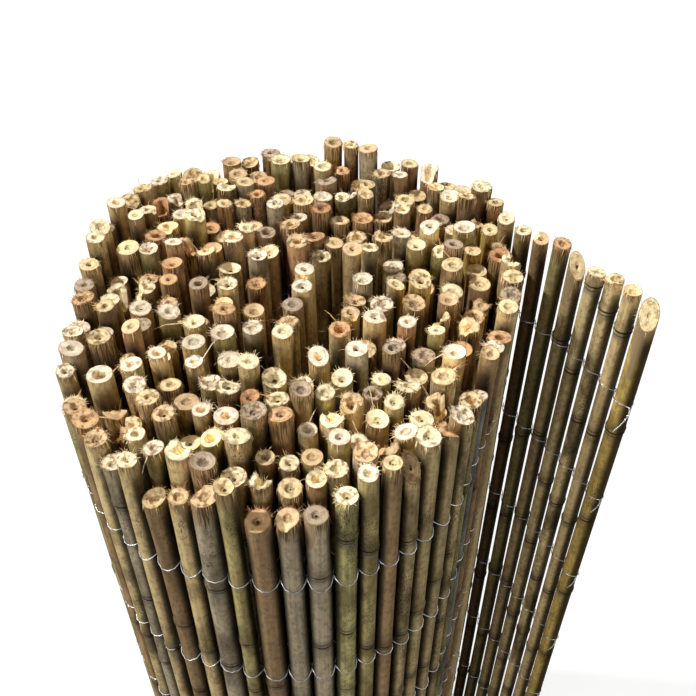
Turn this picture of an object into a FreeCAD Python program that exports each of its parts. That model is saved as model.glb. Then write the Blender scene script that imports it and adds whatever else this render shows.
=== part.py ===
"""Bamboo cane fence panel, rolled up and standing on end, with its free end swung out.

Frame: +Z up, the roll stands on Z = 0, the origin is under the middle of the whole panel.
The viewer stands on the -Y side and the free end points to the right, along +X.
The row of canes is bound by wire rows of two strands. Seen from above it winds outwards
clockwise, from a short tail in the flat eye of the roll to the free end.
"""
import FreeCAD, Part
import math
import os
import random

# Driving dimensions in millimetres and degrees
SIZES = (
    ("panel_height", 900.0, "length of the longest cane"),
    ("length_scatter", 32.0, "how much shorter the shortest cane is"),
    ("foot_scatter", 5.0, "how far the feet of some canes stay off the ground"),
    ("thin_cane", 11.4, "diameter of a thin cane"),
    ("medium_cane", 13.2, "diameter of a medium cane"),
    ("thick_cane", 14.4, "diameter of a thick cane"),
    ("stout_cane", 15.2, "diameter of a stout cane"),
    ("cane_gap", 3.0, "space between neighbours in the roll"),
    ("free_gap", 4.4, "space between neighbours on the free end"),
    ("turn_space", 0.4, "air between one turn of the roll and the next"),
    ("chord_rise", 3.5, "how far a straight run of the wire may cut inside the curve"),
    ("eye_length", 88.0, "flat eye of the roll, front to back"),
    ("eye_flare", 34.0, "how much wider the eye is at the back"),
    ("wire_diameter", 0.9, "galvanised binding wire"),
    ("wire_seat", 0.15, "air between a wire and a cane"),
    ("strand_space", 0.2, "air between the two strands where they cross"),
    ("first_row_depth", 96.0, "first wire row under the cane ends"),
    ("row_spacing", 120.0, "from one wire row to the next"),
    ("lowest_row", 60.0, "least height of a wire row above the ground"),
    ("knuckle_spacing", 235.0, "from one knuckle of a cane to the next"),
    ("knuckle_rise", 0.8, "how far a knuckle stands out"),
    ("knuckle_length", 8.0, "length of a knuckle along the cane"),
    ("pith_bore", 3.8, "hollow in a cane end"),
    ("pith_depth", 14.0, "depth of the hollow in a cane end"),
    ("slant_cut", 55.0, "slope of a slanting cut on a cane end"),
)

# How the panel is rolled and bound
ROLL_TURNS = 6.45
PLAN_TURN = -12.0
FREE_SWING = 9.0
FREE_CURL = 2.0
LONGEST_RUN = 6
RISE_PROBES = 8
SEED = 16

# The roll gets wider over this share of a turn, and this much before its last turn starts
WIDENING_TURN = 0.25
WIDENING_LEAD = 0.38

# A strand lies flat on a cane a little longer than it must, and ends round the end cane
FLAT_SLACK = 1.06
END_REACH = 1.05
END_SIDE = 0.35

# Where the wide block that takes off a slanting cut is counted in stout canes
BLOCK_CANES = 6

# Facets of the outer canes, the hidden inner canes and the wire
OUTER_FACETS = 8
INNER_FACETS = 6
WIRE_FACETS = 3
WIRE_FULLNESS = 0.6

# Grades of cane and their shares in a delivered panel
GRADES = (("thin_cane", 3), ("medium_cane", 5), ("thick_cane", 4), ("stout_cane", 1))

# How far the tops lie below the longest cane and the feet off the ground, as shares of their
# scatters: the least, the most and, for the tops, the usual share. One below 0 counts as 0.
TOP_SHARES = (-0.02, 1.0, 0.35)
FOOT_SHARES = (-0.5, 1.0)

# Canes of the free end, from the roll outwards: the grade, the shares by which its top stays low
# and its foot stays high, and the side that a slanting cut faces, in degrees from +X
FREE_ROW = (
    ("medium_cane", 0.60, 0.0, None),
    ("medium_cane", 0.50, 0.2, None),
    ("thick_cane", 0.27, 0.0, None),
    ("medium_cane", 0.33, 0.3, -70.0),
    ("medium_cane", 0.40, 0.0, None),
    ("thick_cane", 0.20, 0.1, None),
    ("medium_cane", 0.15, 0.0, None),
    ("thick_cane", 0.10, 0.2, -100.0),
)

# Canes of the last turn that face the viewer, from left to right: the same shares and side
FRONT_ROW = (
    (0.61, 0.0, None),
    (0.15, 0.3, None),
    (0.95, 0.0, None),
    (0.78, 0.1, None),
    (0.50, 0.0, None),
    (0.00, 0.2, None),
    (1.00, 0.0, None),
    (0.96, 0.2, None),
    (0.88, 0.0, None),
    (0.45, 0.1, None),
    (0.00, 0.0, None),
    (0.02, 0.3, None),
    (0.22, 0.0, -60.0),
    (0.00, 0.2, None),
)

# Last canes of the roll, from its left side across the back to the free end: the share by which
# each top stays low
BACK_ROW = (
    0.00, 0.00, 0.45, 0.05, 0.25, 0.20, 0.30, 0.30, 0.55,
    0.75, 0.50, 0.60, 0.40, 0.50, 0.55, 0.00, 0.00, 0.02,
    0.50, 0.30, 0.30, 0.65, 0.55, 0.15, 0.35, 0.50,
)

doc = FreeCAD.newDocument("fence_panel")
sheet = doc.addObject("Spreadsheet::Sheet", "Sizes")
for line, (alias, amount, meaning) in enumerate(SIZES, start=1):
    sheet.set("A%d" % line, meaning)
    sheet.set("B%d" % line, "%g" % amount)
    sheet.setAlias("B%d" % line, alias)
doc.recompute()


def size(alias):
    """Value of one cell of the sheet."""
    return float(getattr(sheet, alias))


# Sizes that follow from the driving ones
WIRE_HALF = WIRE_FULLNESS * size("wire_diameter")
SEAT = WIRE_HALF + size("wire_seat")
STRAND_RISE = WIRE_HALF + size("strand_space") / 2
LAYER = size("stout_cane") + 2 * SEAT
TURN_PITCH = LAYER - size("wire_seat") + size("turn_space") + size("chord_rise")
STRAND_ROOM = size("wire_seat") + WIRE_HALF
FIRST_REACH = LAYER + WIRE_HALF + size("turn_space")
EYE_WIDTH = LAYER + 2 * WIRE_HALF
ROW_COUNT = 1 + int((size("panel_height") - size("first_row_depth") - size("lowest_row"))
                    / size("row_spacing"))


class Cane:
    """One cane: its place in plan, the row's direction beside it, its grade, the turns before it."""

    def __init__(self, x, y, heading, grade, turns=0.0):
        self.x = x
        self.y = y
        self.heading = heading
        self.grade = grade
        self.turns = turns
        self.radius = size(grade) / 2
        self.drop = 0.0
        self.lift = 0.0

    def beside(self, along, outward):
        """Point beside the cane, along the row and outwards from it."""
        forward_x, forward_y = math.cos(self.heading), math.sin(self.heading)
        return (self.x + along * forward_x - outward * forward_y,
                self.y + along * forward_y + outward * forward_x)


def eye_corners():
    """Flat eye of the roll, clockwise from its front left corner, a little wider at the back."""
    half_length = size("eye_length") / 2
    front = EYE_WIDTH / 2
    back = front + size("eye_flare") / 2
    return ((-front, -half_length), (-back, half_length), (back, half_length), (front, -half_length))


def reach_after(turns):
    """Distance of the wire line from the eye: the last turn also holds the inner strand."""
    since = turns - (ROLL_TURNS - 1 - WIDENING_LEAD)
    widening = min(1.0, max(0.0, since / WIDENING_TURN))
    return FIRST_REACH + TURN_PITCH * turns + STRAND_ROOM * widening


def wire_line(turns):
    """Point of the wire line: it keeps its distance from the eye, and the distance grows."""
    corners = eye_corners()
    count = len(corners)
    reach = reach_after(turns)
    ends = [(corners[index], corners[(index + 1) % count]) for index in range(count)]
    lengths = [math.dist(start, end) for start, end in ends]
    headings = [math.atan2(end[1] - start[1], end[0] - start[0]) for start, end in ends]
    left = (turns % 1.0) * (sum(lengths) + 2 * math.pi * reach)
    for index in range(count):
        start, end = ends[index]
        heading = headings[index]
        if left <= lengths[index]:
            share = left / lengths[index]
            x = start[0] + (end[0] - start[0]) * share
            y = start[1] + (end[1] - start[1]) * share
            return (x - reach * math.sin(heading), y + reach * math.cos(heading))
        left -= lengths[index]
        bend = (heading - headings[(index + 1) % count]) % (2 * math.pi)
        if left <= bend * reach:
            facing = heading + math.pi / 2 - left / reach
            return (end[0] + reach * math.cos(facing), end[1] + reach * math.sin(facing))
        left -= bend * reach
    return wire_line(math.floor(turns) + 1.0)


def line_after(turns, length):
    """Turn count at which the wire line has come a straight length away from where it was."""
    start = wire_line(turns)
    low = turns
    high = turns + length / FIRST_REACH / 4
    for _ in range(40):
        middle = (low + high) / 2
        if math.dist(start, wire_line(middle)) < length:
            low = middle
        else:
            high = middle
    return high


def pick_grade(draw):
    """Grade of the next cane, drawn by the shares of the grades."""
    names = [name for name, _ in GRADES]
    shares = [share for _, share in GRADES]
    return draw.choices(names, weights=shares)[0]


def seat_run(start, heading, first, grades, turns):
    """Canes seated on the inner side of a straight run of wire, from a first length along it."""
    along = first
    seated = []
    for grade in grades:
        along += (size("cane_gap") + size(grade)) / 2
        inward = size(grade) / 2 + SEAT
        x = start[0] + along * math.cos(heading) + inward * math.sin(heading)
        y = start[1] + along * math.sin(heading) - inward * math.cos(heading)
        seated.append(Cane(x, y, heading, grade, turns))
        along += (size("cane_gap") + size(grade)) / 2
    return seated


def tail_canes():
    """Short inner end of the panel, laid through the eye from the back to the front."""
    half_length = size("eye_length") / 2
    side = EYE_WIDTH / 2 - WIRE_HALF
    usual = size("medium_cane") + size("cane_gap")
    grades = ["medium_cane"] * int(size("eye_length") / usual)
    body = usual * len(grades)
    start = (side, body - half_length)
    return seat_run(start, -math.pi / 2, 0.0, grades, -1.0), [start, (side, -half_length)]


def rise_over(turns, after):
    """How far the wire line rises over the straight run between two of its points."""
    start = wire_line(turns)
    end = wire_line(after)
    length = math.dist(start, end)
    forward = ((end[0] - start[0]) / length, (end[1] - start[1]) / length)
    rises = []
    for number in range(1, RISE_PROBES):
        probe = wire_line(turns + (after - turns) * number / RISE_PROBES)
        rises.append(abs((probe[0] - start[0]) * forward[1] - (probe[1] - start[1]) * forward[0]))
    return max(rises)


def next_run(turns, waiting):
    """End of the next straight run, its tuck at the corners, and how many canes it takes."""
    best = None
    for count in range(1, LONGEST_RUN + 1):
        body = sum(size(grade) + size("cane_gap") for grade in waiting[:count])
        tuck = (size("stout_cane") / 2 + SEAT) * math.tan(body / reach_after(turns) / 2)
        after = line_after(turns, body + 2 * tuck)
        if best is None or rise_over(turns, after) < size("chord_rise"):
            best = (after, tuck, count)
        else:
            break
    return best


def roll_canes(draw):
    """Canes and wire corners of the roll, tail first, and where its last turn starts."""
    canes, corners = tail_canes()
    corners.append(wire_line(0.0))
    last_turn_start = None
    waiting = [pick_grade(draw) for _ in range(LONGEST_RUN)]
    turns = 0.0
    while turns < ROLL_TURNS:
        after, tuck, count = next_run(turns, waiting)
        grades = waiting[:count]
        waiting = waiting[count:] + [pick_grade(draw) for _ in range(count)]
        start = wire_line(turns)
        end = wire_line(after)
        heading = math.atan2(end[1] - start[1], end[0] - start[0])
        canes += seat_run(start, heading, tuck, grades, turns)
        corners.append(end)
        turns = after
        if last_turn_start is None and turns > ROLL_TURNS - 1:
            last_turn_start = len(corners) - 1
    return canes, corners[:-1], last_turn_start


def free_canes(last):
    """Canes of the free end, in a row that swings out and curls back a little."""
    canes = []
    heading = last.heading + math.radians(FREE_SWING)
    x, y = last.x, last.y
    radius = last.radius
    for grade, drop, lift, _ in FREE_ROW:
        step = radius + size("free_gap") + size(grade) / 2
        x += step * math.cos(heading)
        y += step * math.sin(heading)
        turned = heading - math.radians(FREE_CURL) / 2
        cane = Cane(x, y, turned, grade, ROLL_TURNS)
        cane.drop = drop
        cane.lift = lift
        canes.append(cane)
        heading -= math.radians(FREE_CURL)
        radius = size(grade) / 2
    return canes


def strand_side(cane, gap, side):
    """Two corners where a strand passes flat over one side of a cane."""
    height = cane.radius + SEAT
    half_step = cane.radius + gap / 2
    flat = FLAT_SLACK * (half_step - math.sqrt(max(half_step ** 2 - height ** 2, 0.0)))
    return [cane.beside(-flat, side * height), cane.beside(flat, side * height)]


def strand_end(cane, side):
    """Last corner of a strand, where it comes round the end cane to meet the other one."""
    height = cane.radius + SEAT
    return [cane.beside(END_REACH * height, END_SIDE * side * height)]


def swung_out(last):
    """Last cane of the roll, with the direction in which the free end leaves it."""
    heading = last.heading + math.radians(FREE_SWING)
    return Cane(last.x, last.y, heading, last.grade)


def leave_roll(last, hinge):
    """Corners where the inner strand comes up to the inner side of the last cane of the roll."""
    waiting = last.beside(-last.radius - size("cane_gap") / 2, last.radius + SEAT - LAYER)
    return [waiting, strand_side(hinge, size("free_gap"), -1)[0]]


def twine(hinge, free, side):
    """Corners of a strand from the last cane of the roll through the free end."""
    corners = [strand_side(hinge, size("free_gap"), side)[1]]
    for cane in free:
        side = -side
        corners += strand_side(cane, size("free_gap"), side)
    return corners + strand_end(free[-1], side)


def inner_line(corners, depth):
    """Corners of a line that follows a row of wire corners a fixed depth inside them."""
    inner = []
    for before, here, after in zip(corners, corners[1:], corners[2:]):
        first = math.atan2(here[1] - before[1], here[0] - before[0])
        second = math.atan2(after[1] - here[1], after[0] - here[0])
        bend = (first - second + math.pi) % (2 * math.pi) - math.pi
        middle = first - bend / 2
        reach = depth / math.cos(bend / 2)
        inner.append((here[0] + reach * math.sin(middle), here[1] - reach * math.cos(middle)))
    return inner


def centre_of(canes, lines):
    """Middle of the panel in plan."""
    across = [cane.x + side * cane.radius for cane in canes for side in (-1, 1)]
    along = [cane.y + side * cane.radius for cane in canes for side in (-1, 1)]
    for line in lines:
        across += [point[0] + side * WIRE_HALF for point in line for side in (-1, 1)]
        along += [point[1] + side * WIRE_HALF for point in line for side in (-1, 1)]
    return (min(across) + max(across)) / 2, (min(along) + max(along)) / 2


def turn_in_plan(x, y):
    """Point after the whole panel is turned about the upright axis."""
    cosine = math.cos(math.radians(PLAN_TURN))
    sine = math.sin(math.radians(PLAN_TURN))
    return (x * cosine - y * sine, x * sine + y * cosine)


def set_ends(rolled):
    """Gives the canes of the roll their tops and feet: by hand at the front and back, else by chance."""
    draw = random.Random(SEED + 2)
    for cane in rolled:
        cane.drop = max(0.0, draw.triangular(*TOP_SHARES))
        cane.lift = max(0.0, draw.uniform(*FOOT_SHARES))
    for cane, drop in zip(rolled[-len(BACK_ROW):], BACK_ROW):
        cane.drop = drop
    for cane, (drop, lift, _) in zip(front_canes(rolled), FRONT_ROW):
        cane.drop = drop
        cane.lift = lift


def lay_out():
    """Roll canes, free canes and the two strand lines, with the panel's middle at the origin."""
    rolled, corners, last_turn_start = roll_canes(random.Random(SEED))
    free = free_canes(rolled[-1])
    hinge = swung_out(rolled[-1])
    outer = corners + twine(hinge, free, 1)
    inner = inner_line(outer[last_turn_start:len(corners) + 1], LAYER)
    inner += leave_roll(rolled[-1], hinge)
    inner += twine(hinge, free, -1)
    outer = [turn_in_plan(x, y) for x, y in outer]
    inner = [turn_in_plan(x, y) for x, y in inner]
    for cane in rolled + free:
        cane.x, cane.y = turn_in_plan(cane.x, cane.y)
        cane.heading += math.radians(PLAN_TURN)
    middle_x, middle_y = centre_of(rolled + free, [outer])
    for cane in rolled + free:
        cane.x -= middle_x
        cane.y -= middle_y
    set_ends(rolled)
    outer = [(x - middle_x, y - middle_y) for x, y in outer]
    inner = [(x - middle_x, y - middle_y) for x, y in inner]
    return rolled, free, outer, inner


def row_height(row):
    """Height of a wire row above the ground."""
    return size("panel_height") - size("first_row_depth") - row * size("row_spacing")


def clear_of_rows(height):
    """Height of a knuckle, moved up where a wire row would lie on it."""
    room = size("knuckle_length") / 2 + STRAND_RISE + 2 * WIRE_HALF
    for row in range(ROW_COUNT):
        if abs(height - row_height(row)) < room:
            return row_height(row) + room
    return height


def turned(angle):
    """Rotation about Z by an angle in radians."""
    return FreeCAD.Rotation(FreeCAD.Vector(0, 0, 1), math.degrees(angle))


def cane_height(cane):
    """Expression for a cane's length."""
    return ("Sizes.panel_height - %g * Sizes.length_scatter - %g * Sizes.foot_scatter"
            % (cane.drop, cane.lift))


def make_plain_cane(name, cane, facets):
    """Straight cane as a prism with one edge against its wire."""
    prism = doc.addObject("Part::Prism", name)
    prism.Polygon = facets
    prism.setExpression("Circumradius", "Sizes.%s / 2" % cane.grade)
    prism.setExpression("Height", cane_height(cane))
    prism.Placement = FreeCAD.Placement(FreeCAD.Vector(cane.x, cane.y, 0),
                                        turned(cane.heading + math.pi / 2))
    prism.setExpression("Placement.Base.z", "%g * Sizes.foot_scatter" % cane.lift)
    return prism


def make_section(name, cane, height, growth):
    """Outline of a cane at one height, grown where it is a knuckle's crest."""
    outline = doc.addObject("Part::RegularPolygon", name)
    outline.Polygon = OUTER_FACETS
    outline.setExpression("Circumradius", "Sizes.%s / 2 + %g * Sizes.knuckle_rise" % (cane.grade, growth))
    outline.Placement = FreeCAD.Placement(FreeCAD.Vector(cane.x, cane.y, height), turned(cane.heading))
    return outline


def make_knuckled_cane(name, cane, share):
    """Cane with its knuckles, lofted through outlines from its foot to its top."""
    foot = cane.lift * size("foot_scatter")
    top = size("panel_height") - cane.drop * size("length_scatter")
    half = size("knuckle_length") / 2
    stations = [(foot, 0)]
    height = share * size("knuckle_spacing")
    while height < top - size("knuckle_length"):
        crest = clear_of_rows(height)
        if crest - half > stations[-1][0] + half:
            stations += [(crest - half, 0), (crest, 1), (crest + half, 0)]
        height += size("knuckle_spacing")
    stations.append((top, 0))
    loft = doc.addObject("Part::Loft", name)
    loft.Sections = [make_section("%s_outline_%02d" % (name, number), cane, height, growth)
                     for number, (height, growth) in enumerate(stations)]
    loft.Solid = True
    loft.Ruled = True
    return loft


def make_pith_hollow(name, cane):
    """Hollow in the top end of a cane."""
    hollow = doc.addObject("Part::Prism", name)
    hollow.Polygon = OUTER_FACETS
    hollow.setExpression("Circumradius", "Sizes.pith_bore / 2")
    hollow.setExpression("Height", "Sizes.pith_depth")
    hollow.Placement = FreeCAD.Placement(FreeCAD.Vector(cane.x, cane.y, 0), turned(cane.heading))
    hollow.setExpression("Placement.Base.z", "Sizes.panel_height - %g * Sizes.length_scatter"
                         " - Sizes.pith_depth" % cane.drop)
    return hollow


def make_slant(name, cane, facing):
    """Block that takes a slanting cut off a cane's top, falling towards one side."""
    block = doc.addObject("Part::Box", name)
    for side in ("Length", "Width", "Height"):
        block.setExpression(side, "%d * Sizes.stout_cane" % BLOCK_CANES)
    half = BLOCK_CANES * size("stout_cane") / 2
    slope = size("slant_cut")
    top = size("panel_height") - cane.drop * size("length_scatter")
    middle = top - cane.radius * math.tan(math.radians(slope))
    tilt = turned(math.radians(facing)) * FreeCAD.Rotation(FreeCAD.Vector(0, 1, 0), slope)
    seat = FreeCAD.Placement(FreeCAD.Vector(cane.x, cane.y, middle), tilt)
    block.Placement = seat * FreeCAD.Placement(FreeCAD.Vector(-half, -half, 0), FreeCAD.Rotation())
    return block


def cut_away(name, base, tool):
    """One shape with another taken off it."""
    cut = doc.addObject("Part::Cut", name)
    cut.Base = base
    cut.Tool = tool
    return cut


def finish_cane(label, cane, stem, facing):
    """Cane of its own node: its stem with a hollow top and, where it has one, a slanting cut."""
    made = cut_away(label + "_bored", stem, make_pith_hollow(label + "_hollow", cane))
    if facing is not None:
        made = cut_away(label + "_slanted", made, make_slant(label + "_slant", cane, facing))
    made.Label = label
    return made


def make_group(label, members):
    """Several canes of one turn in one node, each a solid of its own."""
    group = doc.addObject("Part::Compound", label)
    group.Links = members
    group.Label = label
    return group


def make_strand(label, line, row, rise):
    """One strand of a wire row, swept along its corners at the height of the row."""
    height = row_height(row) + rise
    spine = doc.addObject("Part::Polygon", label + "_line")
    spine.Nodes = [FreeCAD.Vector(x, y, height) for x, y in line]
    spine.Close = False
    outline = doc.addObject("Part::RegularPolygon", label + "_outline")
    outline.Polygon = WIRE_FACETS
    outline.setExpression("Circumradius", "%g * Sizes.wire_diameter" % WIRE_FULLNESS)
    ahead = FreeCAD.Vector(line[1][0] - line[0][0], line[1][1] - line[0][1], 0)
    outline.Placement = FreeCAD.Placement(FreeCAD.Vector(line[0][0], line[0][1], height),
                                          FreeCAD.Rotation(FreeCAD.Vector(0, 0, 1), ahead))
    strand = doc.addObject("Part::Sweep", label)
    strand.Sections = [outline]
    strand.Spine = (spine, ["Edge%d" % (number + 1) for number in range(len(line) - 1)])
    strand.Solid = True
    strand.Frenet = False
    strand.Transition = "Right corner"
    strand.Label = label
    return strand


def front_canes(rolled):
    """Canes of the last turn that face the viewer, from left to right."""
    outermost = [cane for cane in rolled if cane.turns > ROLL_TURNS - 1]
    nearest = sorted(outermost, key=lambda cane: cane.y)[:len(FRONT_ROW)]
    return sorted(nearest, key=lambda cane: cane.x)


def build():
    """All nodes of the panel."""
    rolled, free, outer, inner = lay_out()
    draw = random.Random(SEED + 1)
    nodes = []
    for number, (cane, (_, _, _, facing)) in enumerate(zip(free, FREE_ROW), start=1):
        label = "free_cane_%d" % number
        stem = make_knuckled_cane(label + "_stem", cane, draw.uniform(0.2, 0.9))
        nodes.append(finish_cane(label, cane, stem, facing))
    shown = front_canes(rolled)
    for number, (cane, (_, _, facing)) in enumerate(zip(shown, FRONT_ROW), start=1):
        label = "front_cane_%02d" % number
        stem = make_plain_cane(label + "_stem", cane, OUTER_FACETS)
        nodes.append(finish_cane(label, cane, stem, facing))
    for turn in range(-1, math.ceil(ROLL_TURNS)):
        label = "turn_%d_canes" % (turn + 1) if turn >= 0 else "inner_tail_canes"
        members = []
        for cane in rolled:
            if math.floor(cane.turns) == turn and cane not in shown:
                facets = OUTER_FACETS if cane.turns > ROLL_TURNS - 1 else INNER_FACETS
                name = "%s_%02d" % (label, len(members) + 1)
                members.append(make_plain_cane(name, cane, facets))
        nodes.append(make_group(label, members))
    for row in range(ROW_COUNT):
        nodes.append(make_strand("wire_row_%d_outer_strand" % (row + 1), outer, row, STRAND_RISE))
        nodes.append(make_strand("wire_row_%d_inner_strand" % (row + 1), inner, row, -STRAND_RISE))
    return nodes


def check_and_export(nodes):
    """Stops on any failed object or broken shape, then writes one STEP file per node."""
    doc.recompute()
    for item in doc.Objects:
        if "Invalid" in item.State or "Error" in item.State:
            raise RuntimeError("%s failed: %s" % (item.Name, item.State))
    for node in nodes:
        if node.Shape.isNull() or not node.Shape.isValid() or not node.Shape.Solids:
            raise RuntimeError("%s has no sound shape" % node.Label)
    os.makedirs("parts", exist_ok=True)
    for node in nodes:
        node.Shape.exportStep(os.path.join("parts", node.Label + ".step"))
        print(node.Label, len(node.Shape.Solids), "solids")


if __name__ == "__main__":
    check_and_export(build())
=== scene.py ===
"""Rolled bamboo fence panel, standing on end with its free end swung out.

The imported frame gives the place, thickness, foot and top of every cane. This script grows a
real cane on each of them, with its skin, knuckles, cut end, pith and fibres, and twines both
strands of every wire row round the canes in the order of the row.
"""

import logging
import math
from dataclasses import dataclass, field
from enum import Enum
from typing import Callable, Dict, List, Optional, Sequence, Tuple, Union

import bpy
import mathutils
import numpy as np
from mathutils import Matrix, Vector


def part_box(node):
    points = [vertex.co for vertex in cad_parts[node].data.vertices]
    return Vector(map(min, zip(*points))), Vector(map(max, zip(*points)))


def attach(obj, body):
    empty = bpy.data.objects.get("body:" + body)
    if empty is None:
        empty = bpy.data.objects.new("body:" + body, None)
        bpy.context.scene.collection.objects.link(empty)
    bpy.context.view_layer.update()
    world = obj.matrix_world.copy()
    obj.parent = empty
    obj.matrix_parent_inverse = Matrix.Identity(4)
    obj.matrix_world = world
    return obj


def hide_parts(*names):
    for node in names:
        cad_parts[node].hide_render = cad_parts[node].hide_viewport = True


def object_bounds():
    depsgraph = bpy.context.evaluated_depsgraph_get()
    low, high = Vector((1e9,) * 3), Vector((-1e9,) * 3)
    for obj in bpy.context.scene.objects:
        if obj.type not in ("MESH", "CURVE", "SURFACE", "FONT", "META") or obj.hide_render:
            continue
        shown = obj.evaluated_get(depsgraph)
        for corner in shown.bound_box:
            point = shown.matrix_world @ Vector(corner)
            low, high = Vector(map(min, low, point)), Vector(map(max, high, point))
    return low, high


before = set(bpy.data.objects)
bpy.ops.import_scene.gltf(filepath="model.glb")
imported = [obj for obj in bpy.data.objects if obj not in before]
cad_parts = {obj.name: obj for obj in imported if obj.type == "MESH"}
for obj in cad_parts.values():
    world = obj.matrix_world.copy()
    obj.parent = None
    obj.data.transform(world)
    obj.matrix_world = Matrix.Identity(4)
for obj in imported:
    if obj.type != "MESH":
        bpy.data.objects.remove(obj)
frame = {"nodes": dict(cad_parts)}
CAD_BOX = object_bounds()

MM = 0.001
FULL_TURN = 2 * np.pi
SEED = 26
LOG = logging.getLogger("fence_panel")

# A screen's curve is straight below its knee and a power above it
SCREEN_KNEE = 0.04045
SCREEN_SLOPE = 12.92
SCREEN_OFFSET = 0.055
SCREEN_POWER = 2.4

Colour = Tuple[float, float, float, float]
Place = Tuple[float, float, float]
Range = Tuple[float, float]
Feed = Union[bpy.types.NodeSocket, float, Sequence[float]]
Marks = Dict[str, np.ndarray]


def picked(red: int, green: int, blue: int) -> Colour:
    """Linear colour from the three 0 to 255 values of a colour picker.

    Args:
        red: red value.
        green: green value.
        blue: blue value.

    Returns:
        The colour with full opacity.
    """
    shares = np.array([red, green, blue]) / 255.0
    curved = ((shares + SCREEN_OFFSET) / (1 + SCREEN_OFFSET)) ** SCREEN_POWER
    linear = np.where(shares > SCREEN_KNEE, curved, shares / SCREEN_SLOPE)
    return (float(linear[0]), float(linear[1]), float(linear[2]), 1.0)


class Skin(Enum):
    """Skin colours of weathered canes."""

    KHAKI = picked(156, 137, 98)
    OLIVE = picked(140, 128, 84)
    GREEN = picked(146, 139, 92)
    STRAW = picked(180, 160, 116)
    GREY = picked(136, 125, 104)
    SLATE = picked(122, 125, 120)
    BROWN = picked(124, 101, 72)
    RUSSET = picked(146, 113, 80)
    YELLOW = picked(180, 153, 84)
    UMBER = picked(92, 76, 56)


class End(Enum):
    """Colours of the cut wood at a cane's end."""

    CREAM = picked(234, 222, 184)
    IVORY = picked(226, 213, 188)
    WHEAT = picked(220, 199, 155)
    TAN = picked(202, 176, 138)
    APRICOT = picked(200, 162, 120)
    RUST = picked(172, 130, 94)
    ASH = picked(166, 150, 130)
    DULL = picked(138, 117, 84)


class Cut(Enum):
    """How the top end of a cane was cut or broken."""

    SAWN = "sawn"
    SCOOPED = "scooped"
    HOLLOW = "hollow"
    CHIPPED = "chipped"
    BROKEN = "broken"
    SLANTED = "slanted"


# How common each option is among the canes whose look is left to chance
SKIN_SHARES = {
    Skin.KHAKI: 28, Skin.OLIVE: 14, Skin.GREEN: 3, Skin.STRAW: 14, Skin.GREY: 12,
    Skin.SLATE: 2, Skin.BROWN: 16, Skin.RUSSET: 7, Skin.YELLOW: 2, Skin.UMBER: 2,
}
END_SHARES = {
    End.CREAM: 24, End.IVORY: 20, End.WHEAT: 24, End.TAN: 14, End.APRICOT: 9,
    End.RUST: 3, End.ASH: 6, End.DULL: 0,
}
CUT_SHARES = {Cut.SAWN: 46, Cut.SCOOPED: 22, Cut.HOLLOW: 10, Cut.CHIPPED: 12, Cut.BROKEN: 10}

Look = Tuple[Skin, End, Cut]
Pixel = Tuple[int, int]

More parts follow.
